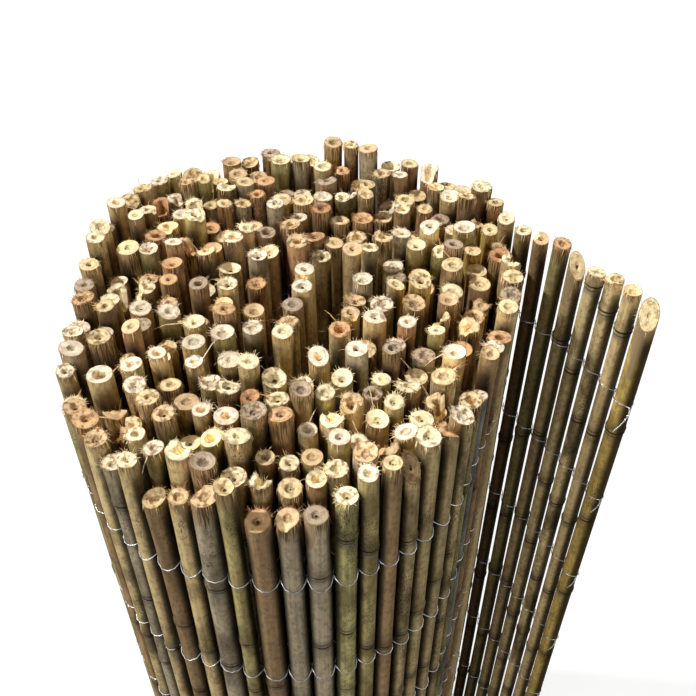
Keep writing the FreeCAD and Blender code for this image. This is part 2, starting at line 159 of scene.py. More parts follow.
# Looks of the ends that the photo shows well, with the pixels where each look is seen
SEEN_ENDS: Dict[Look, Tuple[Pixel, ...]] = {
    (Skin.KHAKI, End.CREAM, Cut.SAWN): (
        (98, 224), (84, 233), (264, 403), (374, 239), (522, 225), (226, 436), (328, 269), (290, 353)),
    (Skin.KHAKI, End.IVORY, Cut.HOLLOW): ((109, 202), (150, 343), (321, 337), (90, 374)),
    (Skin.OLIVE, End.WHEAT, Cut.CHIPPED): ((132, 196), (170, 218)),
    (Skin.BROWN, End.CREAM, Cut.HOLLOW): ((140, 222), (234, 227), (206, 284), (404, 211)),
    (Skin.BROWN, End.TAN, Cut.SCOOPED): ((136, 237), (348, 290), (405, 293), (427, 297)),
    (Skin.STRAW, End.IVORY, Cut.SAWN): (
        (182, 214), (294, 275), (306, 210), (386, 208), (183, 353), (195, 357), (316, 277)),
    (Skin.GREY, End.WHEAT, Cut.SAWN): ((202, 205), (246, 206), (89, 343), (189, 381)),
    (Skin.RUSSET, End.WHEAT, Cut.SAWN): (
        (220, 210), (252, 218), (218, 230), (234, 241), (424, 211), (494, 200), (123, 341), (480, 275)),
    (Skin.GREY, End.IVORY, Cut.SAWN): ((274, 202), (83, 343), (240, 328), (328, 198), (337, 353)),
    (Skin.RUSSET, End.TAN, Cut.HOLLOW): ((293, 217), (157, 268), (287, 233)),
    (Skin.BROWN, End.APRICOT, Cut.SAWN): (
        (208, 224), (180, 279), (218, 311), (320, 240), (89, 298), (305, 345), (110, 370), (92, 420)),
    (Skin.RUSSET, End.IVORY, Cut.SAWN): ((172, 242), (393, 331), (411, 339)),
    (Skin.STRAW, End.TAN, Cut.BROKEN): ((189, 240), (114, 394), (365, 402), (474, 229)),
    (Skin.GREY, End.IVORY, Cut.SCOOPED): ((262, 248), (125, 272), (368, 293)),
    (Skin.BROWN, End.ASH, Cut.HOLLOW): ((274, 232), (204, 268), (452, 214), (456, 238)),
    (Skin.RUSSET, End.APRICOT, Cut.SCOOPED): ((186, 258), (246, 278), (368, 210), (470, 362)),
    (Skin.OLIVE, End.IVORY, Cut.SCOOPED): ((162, 257), (225, 344), (215, 369), (467, 221)),
    (Skin.STRAW, End.WHEAT, Cut.SAWN): (
        (140, 263), (141, 396), (294, 259), (332, 249), (498, 298), (342, 231), (436, 377)),
    (Skin.KHAKI, End.TAN, Cut.SAWN): ((181, 271), (205, 299), (195, 392), (158, 418), (355, 269)),
    (Skin.KHAKI, End.CREAM, Cut.SCOOPED): ((212, 272), (240, 263), (121, 313), (215, 326), (159, 352)),
    (Skin.GREY, End.ASH, Cut.SAWN): ((86, 286), (404, 270), (434, 353), (509, 287)),
    (Skin.KHAKI, End.CREAM, Cut.BROKEN): ((127, 294), (320, 414), (510, 260)),
    (Skin.OLIVE, End.TAN, Cut.CHIPPED): ((176, 293), (500, 300), (331, 304)),
    (Skin.STRAW, End.APRICOT, Cut.HOLLOW): ((274, 281), (347, 337), (496, 340)),
    (Skin.BROWN, End.WHEAT, Cut.SAWN): (
        (87, 308), (296, 246), (388, 221), (477, 294), (198, 320), (365, 199)),
    (Skin.BROWN, End.ASH, Cut.SAWN): ((144, 321), (394, 352), (312, 318)),
    (Skin.GREY, End.WHEAT, Cut.SCOOPED): ((224, 300), (202, 345), (434, 197)),
    (Skin.STRAW, End.TAN, Cut.SCOOPED): ((253, 293), (497, 323), (102, 430)),
    (Skin.OLIVE, End.CREAM, Cut.SCOOPED): ((279, 296), (162, 376), (264, 362), (405, 245), (351, 375)),
    (Skin.OLIVE, End.IVORY, Cut.SAWN): ((169, 328), (112, 356), (162, 438), (387, 312), (346, 436)),
    (Skin.BROWN, End.WHEAT, Cut.HOLLOW): ((188, 338), (261, 314), (349, 241), (462, 202)),
    (Skin.GREEN, End.IVORY, Cut.SAWN): ((256, 326), (296, 276), (378, 262)),
    (Skin.BROWN, End.WHEAT, Cut.BROKEN): ((140, 364), (128, 430), (440, 402)),
    (Skin.BROWN, End.CREAM, Cut.CHIPPED): ((222, 391), (413, 386)),
    (Skin.UMBER, End.RUST, Cut.SCOOPED): ((244, 394),),
    (Skin.STRAW, End.ASH, Cut.SCOOPED): ((288, 388),),
    (Skin.OLIVE, End.CREAM, Cut.SAWN): ((189, 432), (352, 205), (444, 282), (329, 390), (425, 335)),
    (Skin.STRAW, End.IVORY, Cut.CHIPPED): ((441, 223), (359, 314), (368, 430)),
    (Skin.BROWN, End.RUST, Cut.SAWN): ((327, 227),),
    (Skin.GREEN, End.CREAM, Cut.SAWN): ((434, 243), (411, 314), (389, 379)),
    (Skin.STRAW, End.WHEAT, Cut.BROKEN): ((436, 318), (450, 330)),
    (Skin.YELLOW, End.WHEAT, Cut.SAWN): ((474, 248), (509, 215), (416, 278)),
    (Skin.UMBER, End.CREAM, Cut.SAWN): ((472, 322),),
    (Skin.SLATE, End.IVORY, Cut.SAWN): ((471, 382),),
    (Skin.RUSSET, End.ASH, Cut.CHIPPED): ((306, 228),),
}


# A cane grows by a share of its radius where it has room, more or less by its place, and the
# canes of the free end, which stand apart, are a little thinner than the frame's
ROLLED_GROWTH = 0.115
FREE_GROWTH = -0.03
GROWTH_SPREAD = 0.045
GROWTH_WAVES = (9.1, 4.7)
SKIN_AIR = 0.1 * MM

# How the frame's canes are told apart from their knuckles and slanting cuts
FOOT_RING = 0.1 * MM
LEAST_KNUCKLE = 0.3 * MM
SLANTING_RISE = (0.4, 0.95)

# The walk along the row: how much nearness counts beside direction, and how fast it may bend
NEARNESS = 0.6
BEND_MEMORY = 0.5
MOST_BEND = 0.6


@dataclass
class Stem:
    """One cane as the frame holds it, in metres.

    A slanting cut is the plane with this normal that meets the cane's axis at cut_height.
    """

    node: str
    x: float
    y: float
    radius: float
    foot: float
    top: float
    knuckles: np.ndarray
    cut_normal: Optional[np.ndarray] = None
    cut_height: float = 0.0
    room: float = 0.0
    heading: float = 0.0

    @property
    def free(self) -> bool:
        """Whether the cane is one of the free end."""
        return self.node.startswith("free_cane")

    @property
    def shown(self) -> bool:
        """Whether the cane has a node of its own."""
        return self.node.startswith(("front", "free"))

    @property
    def girth(self) -> float:
        """Radius of the grown cane, a little over the frame's where its neighbours leave room.

        Returns:
            The radius in metres.
        """
        spread = math.sin(GROWTH_WAVES[0] * self.x / MM + GROWTH_WAVES[1] * self.y / MM)
        growth = FREE_GROWTH if self.free else ROLLED_GROWTH
        return self.radius + min(self.radius * (growth + GROWTH_SPREAD * spread), self.room)


class FrameReader:
    """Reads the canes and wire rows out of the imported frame."""

    def __init__(self, nodes: Dict[str, bpy.types.Object]) -> None:
        """Keeps the frame's objects by name."""
        self.nodes = nodes

    def cane_nodes(self) -> List[str]:
        """Names of the nodes that hold canes."""
        return sorted(name for name in self.nodes if "cane" in name)

    def wire_rows(self) -> List[int]:
        """Numbers of the wire rows, from the top down."""
        return sorted({int(name.split("_")[2]) for name in self.nodes if name.startswith("wire_row")})

    def solids(self, name: str) -> List[np.ndarray]:
        """Triangles of each separate solid of a node.

        Corners at one place are merged, and every corner then takes the lowest label of the
        triangles that it belongs to until nothing changes.

        Args:
            name: the node.

        Returns:
            One array of triangles by 3 corners by 3 coordinates for each solid.
        """
        mesh = self.nodes[name].data
        points = np.empty(3 * len(mesh.vertices))
        mesh.vertices.foreach_get("co", points)
        points = points.reshape(-1, 3)
        mesh.calc_loop_triangles()
        corners = np.empty(3 * len(mesh.loop_triangles), dtype=np.int32)
        mesh.loop_triangles.foreach_get("vertices", corners)
        places, merged = np.unique(np.round(points, 7), axis=0, return_inverse=True)
        corners = merged.reshape(-1)[corners].reshape(-1, 3)
        labels = np.arange(len(places))
        while True:
            lowest = np.repeat(labels[corners].min(axis=1), 3)
            joined = labels.copy()
            np.minimum.at(joined, corners.ravel(), lowest)
            joined = joined[joined]
            if np.array_equal(joined, labels):
                break
            labels = joined
        owner = labels[corners[:, 0]]
        return [places[corners[owner == label]] for label in np.unique(owner)]

    def stem(self, node: str, triangles: np.ndarray) -> Stem:
        """Measures one cane.

        Args:
            node: the node that the cane belongs to.
            triangles: the cane's triangles.

        Returns:
            The cane's place, thickness, ends, knuckle heights and slanting cut.
        """
        points = np.unique(triangles.reshape(-1, 3), axis=0)
        foot = points[:, 2].min()
        ring = points[points[:, 2] < foot + FOOT_RING]
        middle = ring[:, :2].mean(axis=0)
        radius = np.hypot(*(ring[:, :2] - middle).T).max()
        reach = np.hypot(*(points[:, :2] - middle).T)
        knuckles = np.unique(np.round(points[reach > radius + LEAST_KNUCKLE, 2], 5))
        stem = Stem(node, middle[0], middle[1], radius, foot, points[:, 2].max(), knuckles)
        across = np.cross(triangles[:, 1] - triangles[:, 0], triangles[:, 2] - triangles[:, 0])
        rise = across[:, 2] / np.linalg.norm(across, axis=1)
        slanting = (rise > SLANTING_RISE[0]) & (rise < SLANTING_RISE[1])
        if slanting.any():
            normal = across[slanting].sum(axis=0)
            stem.cut_normal = normal / np.linalg.norm(normal)
            on_cut = triangles[slanting].reshape(-1, 3)
            slope = (on_cut[:, :2] - middle) @ stem.cut_normal[:2] / stem.cut_normal[2]
            stem.cut_height = float((on_cut[:, 2] + slope).mean())
        return stem

    def stems(self) -> List[Stem]:
        """All canes of the frame.

        Returns:
            One stem for each solid of the cane nodes.
        """
        found = [self.stem(name, part) for name in self.cane_nodes() for part in self.solids(name)]
        places = np.array([(stem.x, stem.y) for stem in found])
        radii = np.array([stem.radius for stem in found])
        apart = np.hypot(*(places[:, None] - places[None]).transpose(2, 0, 1))
        gaps = apart - radii[:, None] - radii[None]
        np.fill_diagonal(gaps, np.inf)
        for stem, gap in zip(found, gaps.min(axis=1)):
            stem.room = max(0.0, gap / 2 - SKIN_AIR)
        return found

    def row_height(self, row: int) -> float:
        """Height of a wire row: the middle of its strands' boxes.

        Args:
            row: the row's number.

        Returns:
            The height in metres.
        """
        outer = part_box("wire_row_%d_outer_strand" % row)
        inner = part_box("wire_row_%d_inner_strand" % row)
        return sum(corner.z for corner in (*outer, *inner)) / 4


def in_row_order(stems: Sequence[Stem]) -> List[Stem]:
    """Puts the canes in the order in which the wire takes them, and gives each its heading.

    The walk starts at the last cane of the free end. Each next cane is the one nearest to
    the place that one more step of the same length and direction would reach.

    Args:
        stems: all canes.

    Returns:
        The canes from the inner tail to the free end.
    """
    places = np.array([(stem.x, stem.y) for stem in stems])
    free = [index for index, stem in enumerate(stems) if stem.free]
    order = sorted(free, key=lambda index: -int(stems[index].node.split("_")[-1]))
    left = set(range(len(stems))) - set(order)
    tail = {index for index in left if stems[index].node.startswith("inner_tail")}
    turn = 0.0
    while left:
        here, before = places[order[-1]], places[order[-2]]
        step = here - before
        cosine, sine = math.cos(turn), math.sin(turn)
        ahead = here + np.array([step[0] * cosine - step[1] * sine, step[0] * sine + step[1] * cosine])
        waiting = np.array(sorted(left - tail or left))
        apart = np.hypot(*(places[waiting] - ahead).T) + NEARNESS * np.hypot(*(places[waiting] - here).T)
        chosen = int(waiting[apart.argmin()])
        after = places[chosen] - here
        bend = math.atan2(step[0] * after[1] - step[1] * after[0], step @ after)
        turn = BEND_MEMORY * turn + (1 - BEND_MEMORY) * min(max(bend, -MOST_BEND), MOST_BEND)
        order.append(chosen)
        left.remove(chosen)
    ordered = [stems[index] for index in reversed(order)]
    for stem, ahead in zip(ordered, np.gradient(places[order[::-1]], axis=0)):
        stem.heading = math.atan2(ahead[1], ahead[0])
    return ordered


class PieceMesh:
    """Collects the surfaces of one piece and turns them into an object."""

    def __init__(self) -> None:
        """Starts with nothing in it."""
        self.points: List[np.ndarray] = []
        self.quads: List[np.ndarray] = []
        self.triangles: List[np.ndarray] = []
        self.quad_slots: List[np.ndarray] = []
        self.triangle_slots: List[np.ndarray] = []
        self.marks: Dict[str, List[np.ndarray]] = {}
        self.count = 0

    def add(self, points: np.ndarray, quads: np.ndarray, triangles: np.ndarray, slot: int,
            marks: Marks, quad_slots: Optional[np.ndarray] = None) -> None:
        """Adds one surface.

        Args:
            points: places of its corners.
            quads: its four-cornered faces.
            triangles: its three-cornered faces.
            slot: material slot of the triangles, and of the quads without slots of their own.
            marks: values by name, one row for each corner.
            quad_slots: material slot of each quad.
        """
        self.points.append(points.reshape(-1, 3))
        self.quads.append(quads.reshape(-1, 4) + self.count)
        self.triangles.append(triangles.reshape(-1, 3) + self.count)
        own = np.full(len(quads), slot) if quad_slots is None else quad_slots
        self.quad_slots.append(own)
        self.triangle_slots.append(np.full(len(triangles), slot))
        for name, values in marks.items():
            self.marks.setdefault(name, []).append(values)
        self.count += len(self.points[-1])

    def finish(self, name: str, materials: Sequence[bpy.types.Material]) -> bpy.types.Object:
        """Makes the object, at the origin, with its marks as attributes.

        Args:
            name: the object's name.
            materials: its materials, in the order of the slots.

        Returns:
            The new object.
        """
        points = np.clip(np.concatenate(self.points), CAD_BOX[0], CAD_BOX[1])
        quads = np.concatenate(self.quads)
        triangles = np.concatenate(self.triangles)
        mesh = bpy.data.meshes.new(name)
        mesh.vertices.add(len(points))
        mesh.vertices.foreach_set("co", points.astype(np.float32).ravel())
        corners = np.concatenate([quads.ravel(), triangles.ravel()])
        mesh.loops.add(len(corners))
        mesh.loops.foreach_set("vertex_index", corners.astype(np.int32))
        mesh.polygons.add(len(quads) + len(triangles))
        starts = np.concatenate([4 * np.arange(len(quads)), quads.size + 3 * np.arange(len(triangles))])
        mesh.polygons.foreach_set("loop_start", starts.astype(np.int32))
        slots = np.concatenate(self.quad_slots + self.triangle_slots)
        mesh.polygons.foreach_set("material_index", slots.astype(np.int32))
        mesh.polygons.foreach_set("use_smooth", np.ones(len(slots), dtype=bool))
        for mark, rows in self.marks.items():
            values = np.concatenate(rows)
            coloured = values.ndim == 2
            layer = mesh.attributes.new(mark, "FLOAT_COLOR" if coloured else "FLOAT", "POINT")
            layer.data.foreach_set("color" if coloured else "value", values.astype(np.float32).ravel())
        mesh.update(calc_edges=True)
        for material in materials:
            mesh.materials.append(material)
        piece = bpy.data.objects.new(name, mesh)
        bpy.context.scene.collection.objects.link(piece)
        return piece


def grid_quads(rows: int, columns: int) -> np.ndarray:
    """Faces of a tube whose points lie in rows, each row a closed ring.

    Args:
        rows: how many rings.
        columns: how many points a ring has.

    Returns:
        Four corners for each face, facing outwards where the rings rise anticlockwise.
    """
    row, column = np.meshgrid(np.arange(rows - 1), np.arange(columns), indexing="ij")
    after = (column + 1) % columns
    corners = [row * columns + column, row * columns + after,
               (row + 1) * columns + after, (row + 1) * columns + column]
    return np.stack(corners, axis=-1).reshape(-1, 4)


def fan(first: int, pole: int, columns: int, upward: bool) -> np.ndarray:
    """Triangles that close a ring with one middle point.

    Args:
        first: number of the ring's first point.
        pole: number of the middle point.
        columns: how many points the ring has.
        upward: whether they face up.

    Returns:
        Three corners for each face.
    """
    column = np.arange(columns)
    after = (column + 1) % columns
    pair = (first + column, first + after) if upward else (first + after, first + column)
    return np.stack([pair[0], pair[1], np.full(columns, pole)], axis=-1)


def smooth_step(values: np.ndarray, low: float, high: float) -> np.ndarray:
    """Eased share of the way from low to high."""
    share = np.clip((values - low) / (high - low), 0.0, 1.0)
    return share * share * (3.0 - 2.0 * share)


@dataclass(frozen=True)
class CaneLook:
    """What one cane looks like, apart from its place."""

    skin: Skin
    end: End
    cut: Cut
    pith: float
    wear: float
    fray: float
    burr: float
    hole: float
    brightness: float
    peel_facing: Optional[float] = None
    peel_length: float = 0.0


@dataclass(frozen=True)
class Fibres:
    """Fibres at a rim: the saw's burr, hanging ones and now and then a straw.

    Lengths and widths are in millimetres, as a least and a most, but a burr's length is
    drawn from a gamma curve with this shape and scale.
    """

    fewest_burrs: int = 8
    more_burrs: int = 46
    hanging: int = 30
    hanging_behind: int = 16
    burr_facing: float = 0.9
    burr_spread: float = 0.75
    facing_by_tilt: float = 0.4
    root_share: float = 0.96
    rim_share: float = 0.97
    clear_of_rim: float = 0.05
    bends_at: float = 0.55
    root_depth: Range = (0.1, 0.5)
    burr_length: Range = (2.2, 0.95)
    burr_width: Range = (0.10, 0.20)
    burr_rise: Range = (-0.25, 0.75)
    burr_droop: float = 0.18
    hanging_length: Range = (2.5, 9.0)
    hanging_width: Range = (0.14, 0.30)
    hanging_out: Range = (0.05, 0.22)
    straw_length: Range = (9.0, 24.0)
    straw_width: float = 0.42
    aside: float = 0.45
    aside_hanging: float = 0.12
    aside_burr: float = 0.6


# Depths under the rim and distances from a knuckle at which the skin has a ring of points
RIM_STATIONS = np.array([0.0, 0.5, 1.4, 3.0, 5.5, 9.0, 14.0, 22.0, 34.0, 52.0]) * MM
KNUCKLE_STATIONS = np.array([-10, -5.2, -3.4, -1.7, 0.0, 1.5, 4.0, 10.0]) * MM

# Waves round a cane that add up to a ragged edge, and what brings their sum to about 1
RAGGED_WAVES = np.arange(3, 15)
RAGGED_SUM = 2.2

# What the marks count in: distances from a knuckle and depths under the rim
KNUCKLE_REACH = 20 * MM
RIM_REACH = 40 * MM

# How deep the pith lies where the cut didn't leave it near the saw's plane, in millimetres
PITH_DEPTHS = {Cut.HOLLOW: 10.0, Cut.BROKEN: 6.0, Cut.CHIPPED: 2.2, Cut.SCOOPED: 1.5}


@dataclass
class CaneShape:
    """Grows the surface of one cane on its stem.

    The skin is a tube whose radius falls off slowly and rises at each knuckle in two ridges
    with a groove between them. The end is a disc of rings whose height follows the cut.
    Each knuckle bump is a bell: its height as a share of the ridge, how far it lies below the
    knuckle, and its half width.
    """

    stem: Stem
    look: CaneLook
    draw: np.random.Generator
    segments: int
    detailed: bool
    fibres: Fibres = Fibres()
    taper: float = 0.03
    foot_growth: float = 1.015
    oval: float = 0.018
    three_sided: float = 0.008
    bend: float = 0.4 * MM
    bend_wave: float = 620 * MM
    splay: float = 1.5 * MM
    splay_from: float = 95 * MM
    tilt_spread: float = 0.15
    saw_loss: float = 0.5 * MM
    ragged_rim: float = 0.42 * MM
    scoop: float = 2.3 * MM
    chip_width: float = 0.75
    break_widths: Range = (0.9, 1.8)
    break_depths: Range = (4.0 * MM, 13.0 * MM)
    rakes: Range = (0.4, 1.0)
    chip_depth: float = 3.4 * MM
    splinters: float = 1.3 * MM
    ridge: float = 0.72 * MM
    knuckle_bumps: Tuple[Tuple[float, float, float], ...] = (
        (1.0, 0.0, 1.2 * MM),
        (0.75, 3.4 * MM, 1.1 * MM),
        (-0.55, 1.7 * MM, 0.7 * MM),
        (0.25, 0.0, 9 * MM),
    )
    knuckle_spacing: float = 235 * MM
    spacing_spread: float = 0.08
    first_knuckle: Range = (0.12, 1.0)
    most_knuckles: int = 7
    foot_clear: float = 12 * MM
    seen_depth: float = 170 * MM
    spread_from: float = 80 * MM
    near_step: float = 48 * MM
    far_step: float = 260 * MM
    least_step: float = 0.45 * MM
    last_step: float = 10 * MM
    last_ring: float = 3 * MM
    blend_depth: float = 26 * MM
    slant_blend_depth: float = 60 * MM
    chamfer: float = 0.22 * MM
    peel_depth: float = 0.45 * MM
    peel_width: float = 0.95
    roughness: float = 0.11 * MM
    torn: float = 2.5
    end_edge: float = 0.985
    wood_edge: float = 0.93
    pith_edge: float = 1.18
    pith_rings: Place = (1.0, 0.86, 0.45)
    foot_rings: Range = (0.62, 0.28)
    foot_hollow: float = 1.2 * MM
    # Painted shade in the gaps of a row: how squarely the skin faces a neighbour, and the depths under the
    # top over which the shade sets in
    gap_shade_towards: Range = (0.52, 0.96)
    gap_shade_depths: Range = (1.0 * MM, 20 * MM)
    straw_share: float = 0.10

    def __post_init__(self) -> None:
        """Draws what is left to chance in this cane."""
        draw = self.draw
        self.theta = np.arange(self.segments) * FULL_TURN / self.segments
        self.bend_facing, self.splay_facing = draw.uniform(0, FULL_TURN, 2)
        self.bend_phase = draw.uniform(0, FULL_TURN)
        self.oval_phase = draw.uniform(0, FULL_TURN, 3)
        self.tilt_facing = draw.uniform(0, FULL_TURN)
        self.tilt = abs(draw.normal(0, self.tilt_spread))
        self.break_facing = draw.uniform(0, FULL_TURN)
        self.break_width = draw.uniform(*self.break_widths)
        self.break_depth = draw.uniform(*self.break_depths)
        self.ripples = draw.uniform(0, FULL_TURN, len(RAGGED_WAVES))
        self.rake = draw.uniform(*self.rakes)
        self.knuckles = self.stem.knuckles if len(self.stem.knuckles) else self.own_knuckles()
        if self.stem.cut_normal is not None:
            self.blend_depth = self.slant_blend_depth

    def own_knuckles(self) -> np.ndarray:
        """Knuckle heights of a cane that has none in the frame, from the top down.

        Returns:
            The heights in metres.
        """
        stem, draw = self.stem, self.draw
        first = stem.top - draw.uniform(*self.first_knuckle) * self.knuckle_spacing
        spaces = self.knuckle_spacing * (1 + self.spacing_spread * draw.normal(size=self.most_knuckles - 1))
        heights = first - np.concatenate([[0.0], np.cumsum(spaces)])
        return heights[heights > stem.foot + self.foot_clear]

    def ripple(self, theta: np.ndarray) -> np.ndarray:
        """Ragged ring from -1 to 1: a sum of waves of rising number round the cane.

        Args:
            theta: angles round the cane.

        Returns:
            One value for each angle.
        """
        orders = RAGGED_WAVES[:, None]
        waves = np.sin(orders * theta.reshape(1, -1) + self.ripples[:, None]) / np.sqrt(orders)
        return (waves.sum(axis=0) / RAGGED_SUM).reshape(theta.shape)

    def away_from(self, theta: np.ndarray, facing: float) -> np.ndarray:
        """Angle between a point and a direction, without its sign."""
        return np.abs((theta - facing + np.pi) % FULL_TURN - np.pi)

    def from_knuckle(self, height: np.ndarray) -> np.ndarray:
        """Signed distance above the nearest knuckle, or far off where there is none.

        Args:
            height: heights of points.

        Returns:
            Distances in metres.
        """
        if len(self.knuckles) == 0:
            return np.full(height.shape, 1.0)
        apart = height[..., None] - self.knuckles
        nearest = np.abs(apart).argmin(axis=-1)
        return np.take_along_axis(apart, nearest[..., None], axis=-1)[..., 0]

    def radius_at(self, height: np.ndarray, theta: np.ndarray) -> np.ndarray:
        """Radius of the skin: slow taper, slight oval, and a sum of bells at each knuckle.

        Args:
            height: heights of points.
            theta: their angles round the cane.

        Returns:
            One radius for each point.
        """
        stem = self.stem
        share = (height - stem.foot) / (stem.top - stem.foot)
        round_part = stem.girth * (self.foot_growth - self.taper * share)
        two_sided = self.oval * np.cos(2 * theta + self.oval_phase[0])
        three_sided = self.three_sided * np.cos(3 * theta + self.oval_phase[1])
        apart = self.from_knuckle(height)
        bells = [part * np.exp(-((apart + below) / width) ** 2)
                 for part, below, width in self.knuckle_bumps]
        return round_part * (1 + two_sided + three_sided) + self.ridge * sum(bells)

    def axis_at(self, height: np.ndarray) -> np.ndarray:
        """Middle of the cane at a height: one slow wave, and a lean above the first wire row.

        Args:
            height: heights of points.

        Returns:
            x and y of the axis at each height.
        """
        stem = self.stem
        wave = self.bend * np.sin(FULL_TURN * (height - stem.foot) / self.bend_wave + self.bend_phase)
        risen = np.clip((height - (stem.top - self.splay_from)) / self.splay_from, 0, 1)
        lean = self.rake * self.splay * risen ** 2
        x = stem.x + wave * math.cos(self.bend_facing) + lean * math.cos(self.splay_facing)
        y = stem.y + wave * math.sin(self.bend_facing) + lean * math.sin(self.splay_facing)
        return np.stack([x, y], axis=-1)

    def end_height(self, theta: np.ndarray, share: np.ndarray) -> np.ndarray:
        """Height of the cut end over a point, given by its angle and share of the radius.

        Args:
            theta: angle round the cane.
            share: distance from the axis as a share of the radius.

        Returns:
            The height: the plane of the saw, hollowed, chipped or broken as the look says.
        """
        stem, look = self.stem, self.look
        if stem.cut_normal is not None:
            normal = stem.cut_normal
            reach = stem.girth * share
            slope = (np.cos(theta) * normal[0] + np.sin(theta) * normal[1]) * reach / normal[2]
            return stem.cut_height - slope
        tilted = self.tilt * stem.radius * (share * np.cos(theta - self.tilt_facing) - 1)
        ragged = self.ripple(theta)
        height = stem.top - self.saw_loss + tilted + self.ragged_rim * look.wear * ragged * share ** 2
        away = self.away_from(theta, self.break_facing)
        if look.cut == Cut.SCOOPED:
            height = height - self.scoop * (1 - share ** 2)
        if look.cut == Cut.CHIPPED:
            lost = smooth_step(self.chip_width - away + 0.25 * ragged, 0.0, 0.35)
            height = height - self.chip_depth * lost * smooth_step(share, 0.35, 0.8)
        if look.cut == Cut.BROKEN:
            lost = smooth_step(self.break_width - away + 0.35 * ragged, 0.0, 0.45)
            height = height - self.break_depth * lost - self.splinters * ragged * share
        return height

    def pith_depth(self) -> float:
        """How deep the middle of the end lies under the wood round it."""
        return PITH_DEPTHS.get(self.look.cut, 1.3 + 1.4 * self.look.wear) * MM

    def stations(self) -> np.ndarray:
        """Depths of the skin's rings under the top, from the rim down to the foot.

        Returns:
            Depths in rising order, the foot's last.
        """
        length = self.stem.top - self.stem.foot
        near = self.knuckles > self.stem.top - self.seen_depth
        seen = self.knuckles[near | self.detailed]
        cluster = (self.stem.top - seen[:, None] - KNUCKLE_STATIONS[None, :]).ravel()
        step = self.near_step if self.detailed else self.far_step
        spread = np.arange(self.spread_from, length - self.last_step, step)
        depths = np.concatenate([RIM_STATIONS, cluster, spread])
        depths = np.sort(depths[(depths >= 0) & (depths < length - self.last_ring)])
        kept = np.concatenate([[True], np.diff(depths) > self.least_step])
        return np.concatenate([depths[kept], [length]])

    def placed(self, theta: np.ndarray, radius: np.ndarray, height: np.ndarray) -> np.ndarray:
        """Points at an angle, a distance from the cane's axis and a height.

        Args:
            theta: angles round the cane.
            radius: distances from the axis.
            height: heights of points.

        Returns:
            Points, with their coordinates on the last axis.
        """
        middle = self.axis_at(height)
        x = middle[..., 0] + radius * np.cos(theta)
        y = middle[..., 1] + radius * np.sin(theta)
        return np.stack([x, y, height], axis=-1)

    def skin_points(self) -> Tuple[np.ndarray, np.ndarray]:
        """Points of the skin from the foot to the rim.

        Near the top the rings follow the ragged rim, and lower down they level out.

        Returns:
            Points as rings by segments by 3, and the depth of each ring under the top.
        """
        depths = self.stations()[::-1]
        rim = self.end_height(self.theta, np.ones(self.segments)) - self.chamfer
        follow = np.clip(1 - depths / self.blend_depth, 0, 1)[:, None]
        height = (self.stem.top - depths)[:, None] + (rim - self.stem.top)[None, :] * follow
        theta = np.broadcast_to(self.theta, height.shape)
        peeled = self.peel(theta, self.stem.top - height)
        radius = self.radius_at(height, theta) - peeled * self.peel_depth
        return self.placed(theta, radius, height), depths

    def peel(self, theta: np.ndarray, depth: np.ndarray) -> np.ndarray:
        """Mask of a strip peeled off the skin: a wedge that narrows to a point on its way down.

        Args:
            theta: angles round the cane.
            depth: depths under the top.

        Returns:
            1 where the skin is off, 0 where it is on.
        """
        if self.look.peel_facing is None:
            return np.zeros(theta.shape)
        away = self.away_from(theta, self.look.peel_facing)
        width = self.peel_width * np.clip(1 - depth / self.look.peel_length, 0, 1) ** 0.7
        return smooth_step(width - away, 0.0, 0.12)

    def end_points(self) -> Tuple[np.ndarray, np.ndarray]:
        """Points of the cut end from the rim to the edge of the middle point.

        Returns:
            Points as rings by segments by 3, and each ring's share of the radius.
        """
        pith = self.look.pith
        wood = np.linspace(self.wood_edge, pith * self.pith_edge, 4)
        shares = np.concatenate([[self.end_edge], wood, pith * np.array(self.pith_rings)])
        theta = np.broadcast_to(self.theta, (len(shares), self.segments))
        share = np.broadcast_to(shares[:, None], theta.shape)
        height = self.end_height(theta, share)
        torn = self.torn if self.look.cut == Cut.BROKEN else 1.0
        rough = self.draw.normal(0, self.roughness, theta.shape) * torn
        height = height + rough * (share < 0.95)
        height = height - self.pith_depth() * smooth_step(pith * 1.09 - share, 0.0, pith * 0.3)
        rim = self.radius_at(np.full(self.segments, self.stem.top), self.theta)
        rim = rim - self.peel(self.theta, np.zeros(self.segments)) * self.peel_depth
        return self.placed(theta, share * rim, height), shares

    def gap_shade(self, theta: np.ndarray, depth: np.ndarray) -> np.ndarray:
        """Mask of painted shade on the skin: how far a point lies in the narrow gap to its neighbours in
        the row.
        """
        towards = np.abs(np.cos(theta - self.stem.heading))
        return smooth_step(towards, *self.gap_shade_towards) * smooth_step(depth, *self.gap_shade_depths)

    def marks(self, height: np.ndarray, depth: np.ndarray, share: np.ndarray,
              peeled: np.ndarray, gap_shade: np.ndarray) -> Marks:
        """Values that the materials read at each point.

        Args:
            height: height of each point.
            depth: its depth under the top.
            share: its share of the radius.
            peeled: 1 where the skin is off.
            gap_shade: 1 deep in a gap between canes.

        Returns:
            Values by the mark's name, one row for each point.
        """
        count = len(height)
        look = self.look
        skin = np.array(look.skin.value) * [look.brightness] * 4
        end = np.array(look.end.value) * [0.5 + 0.5 * look.brightness] * 4
        return {
            "skin_tint": np.tile(skin, (count, 1)),
            "end_tint": np.tile(end, (count, 1)),
            "from_knuckle": np.clip(self.from_knuckle(height) / KNUCKLE_REACH, -1, 1),
            "under_top": np.clip(depth / RIM_REACH, 0, 1),
            "share": share,
            "pith": np.full(count, look.pith),
            "wear": np.full(count, look.wear),
            "fray": np.full(count, look.fray),
            "hole": np.full(count, look.hole),
            "peeled": peeled,
            "gap_shade": gap_shade,
        }

    def fibre_marks(self, height: np.ndarray) -> Marks:
        """Marks of points on a fibre, which lie at the rim."""
        nothing = np.zeros(len(height))
        return self.marks(height, nothing, np.ones(len(height)), nothing, nothing)

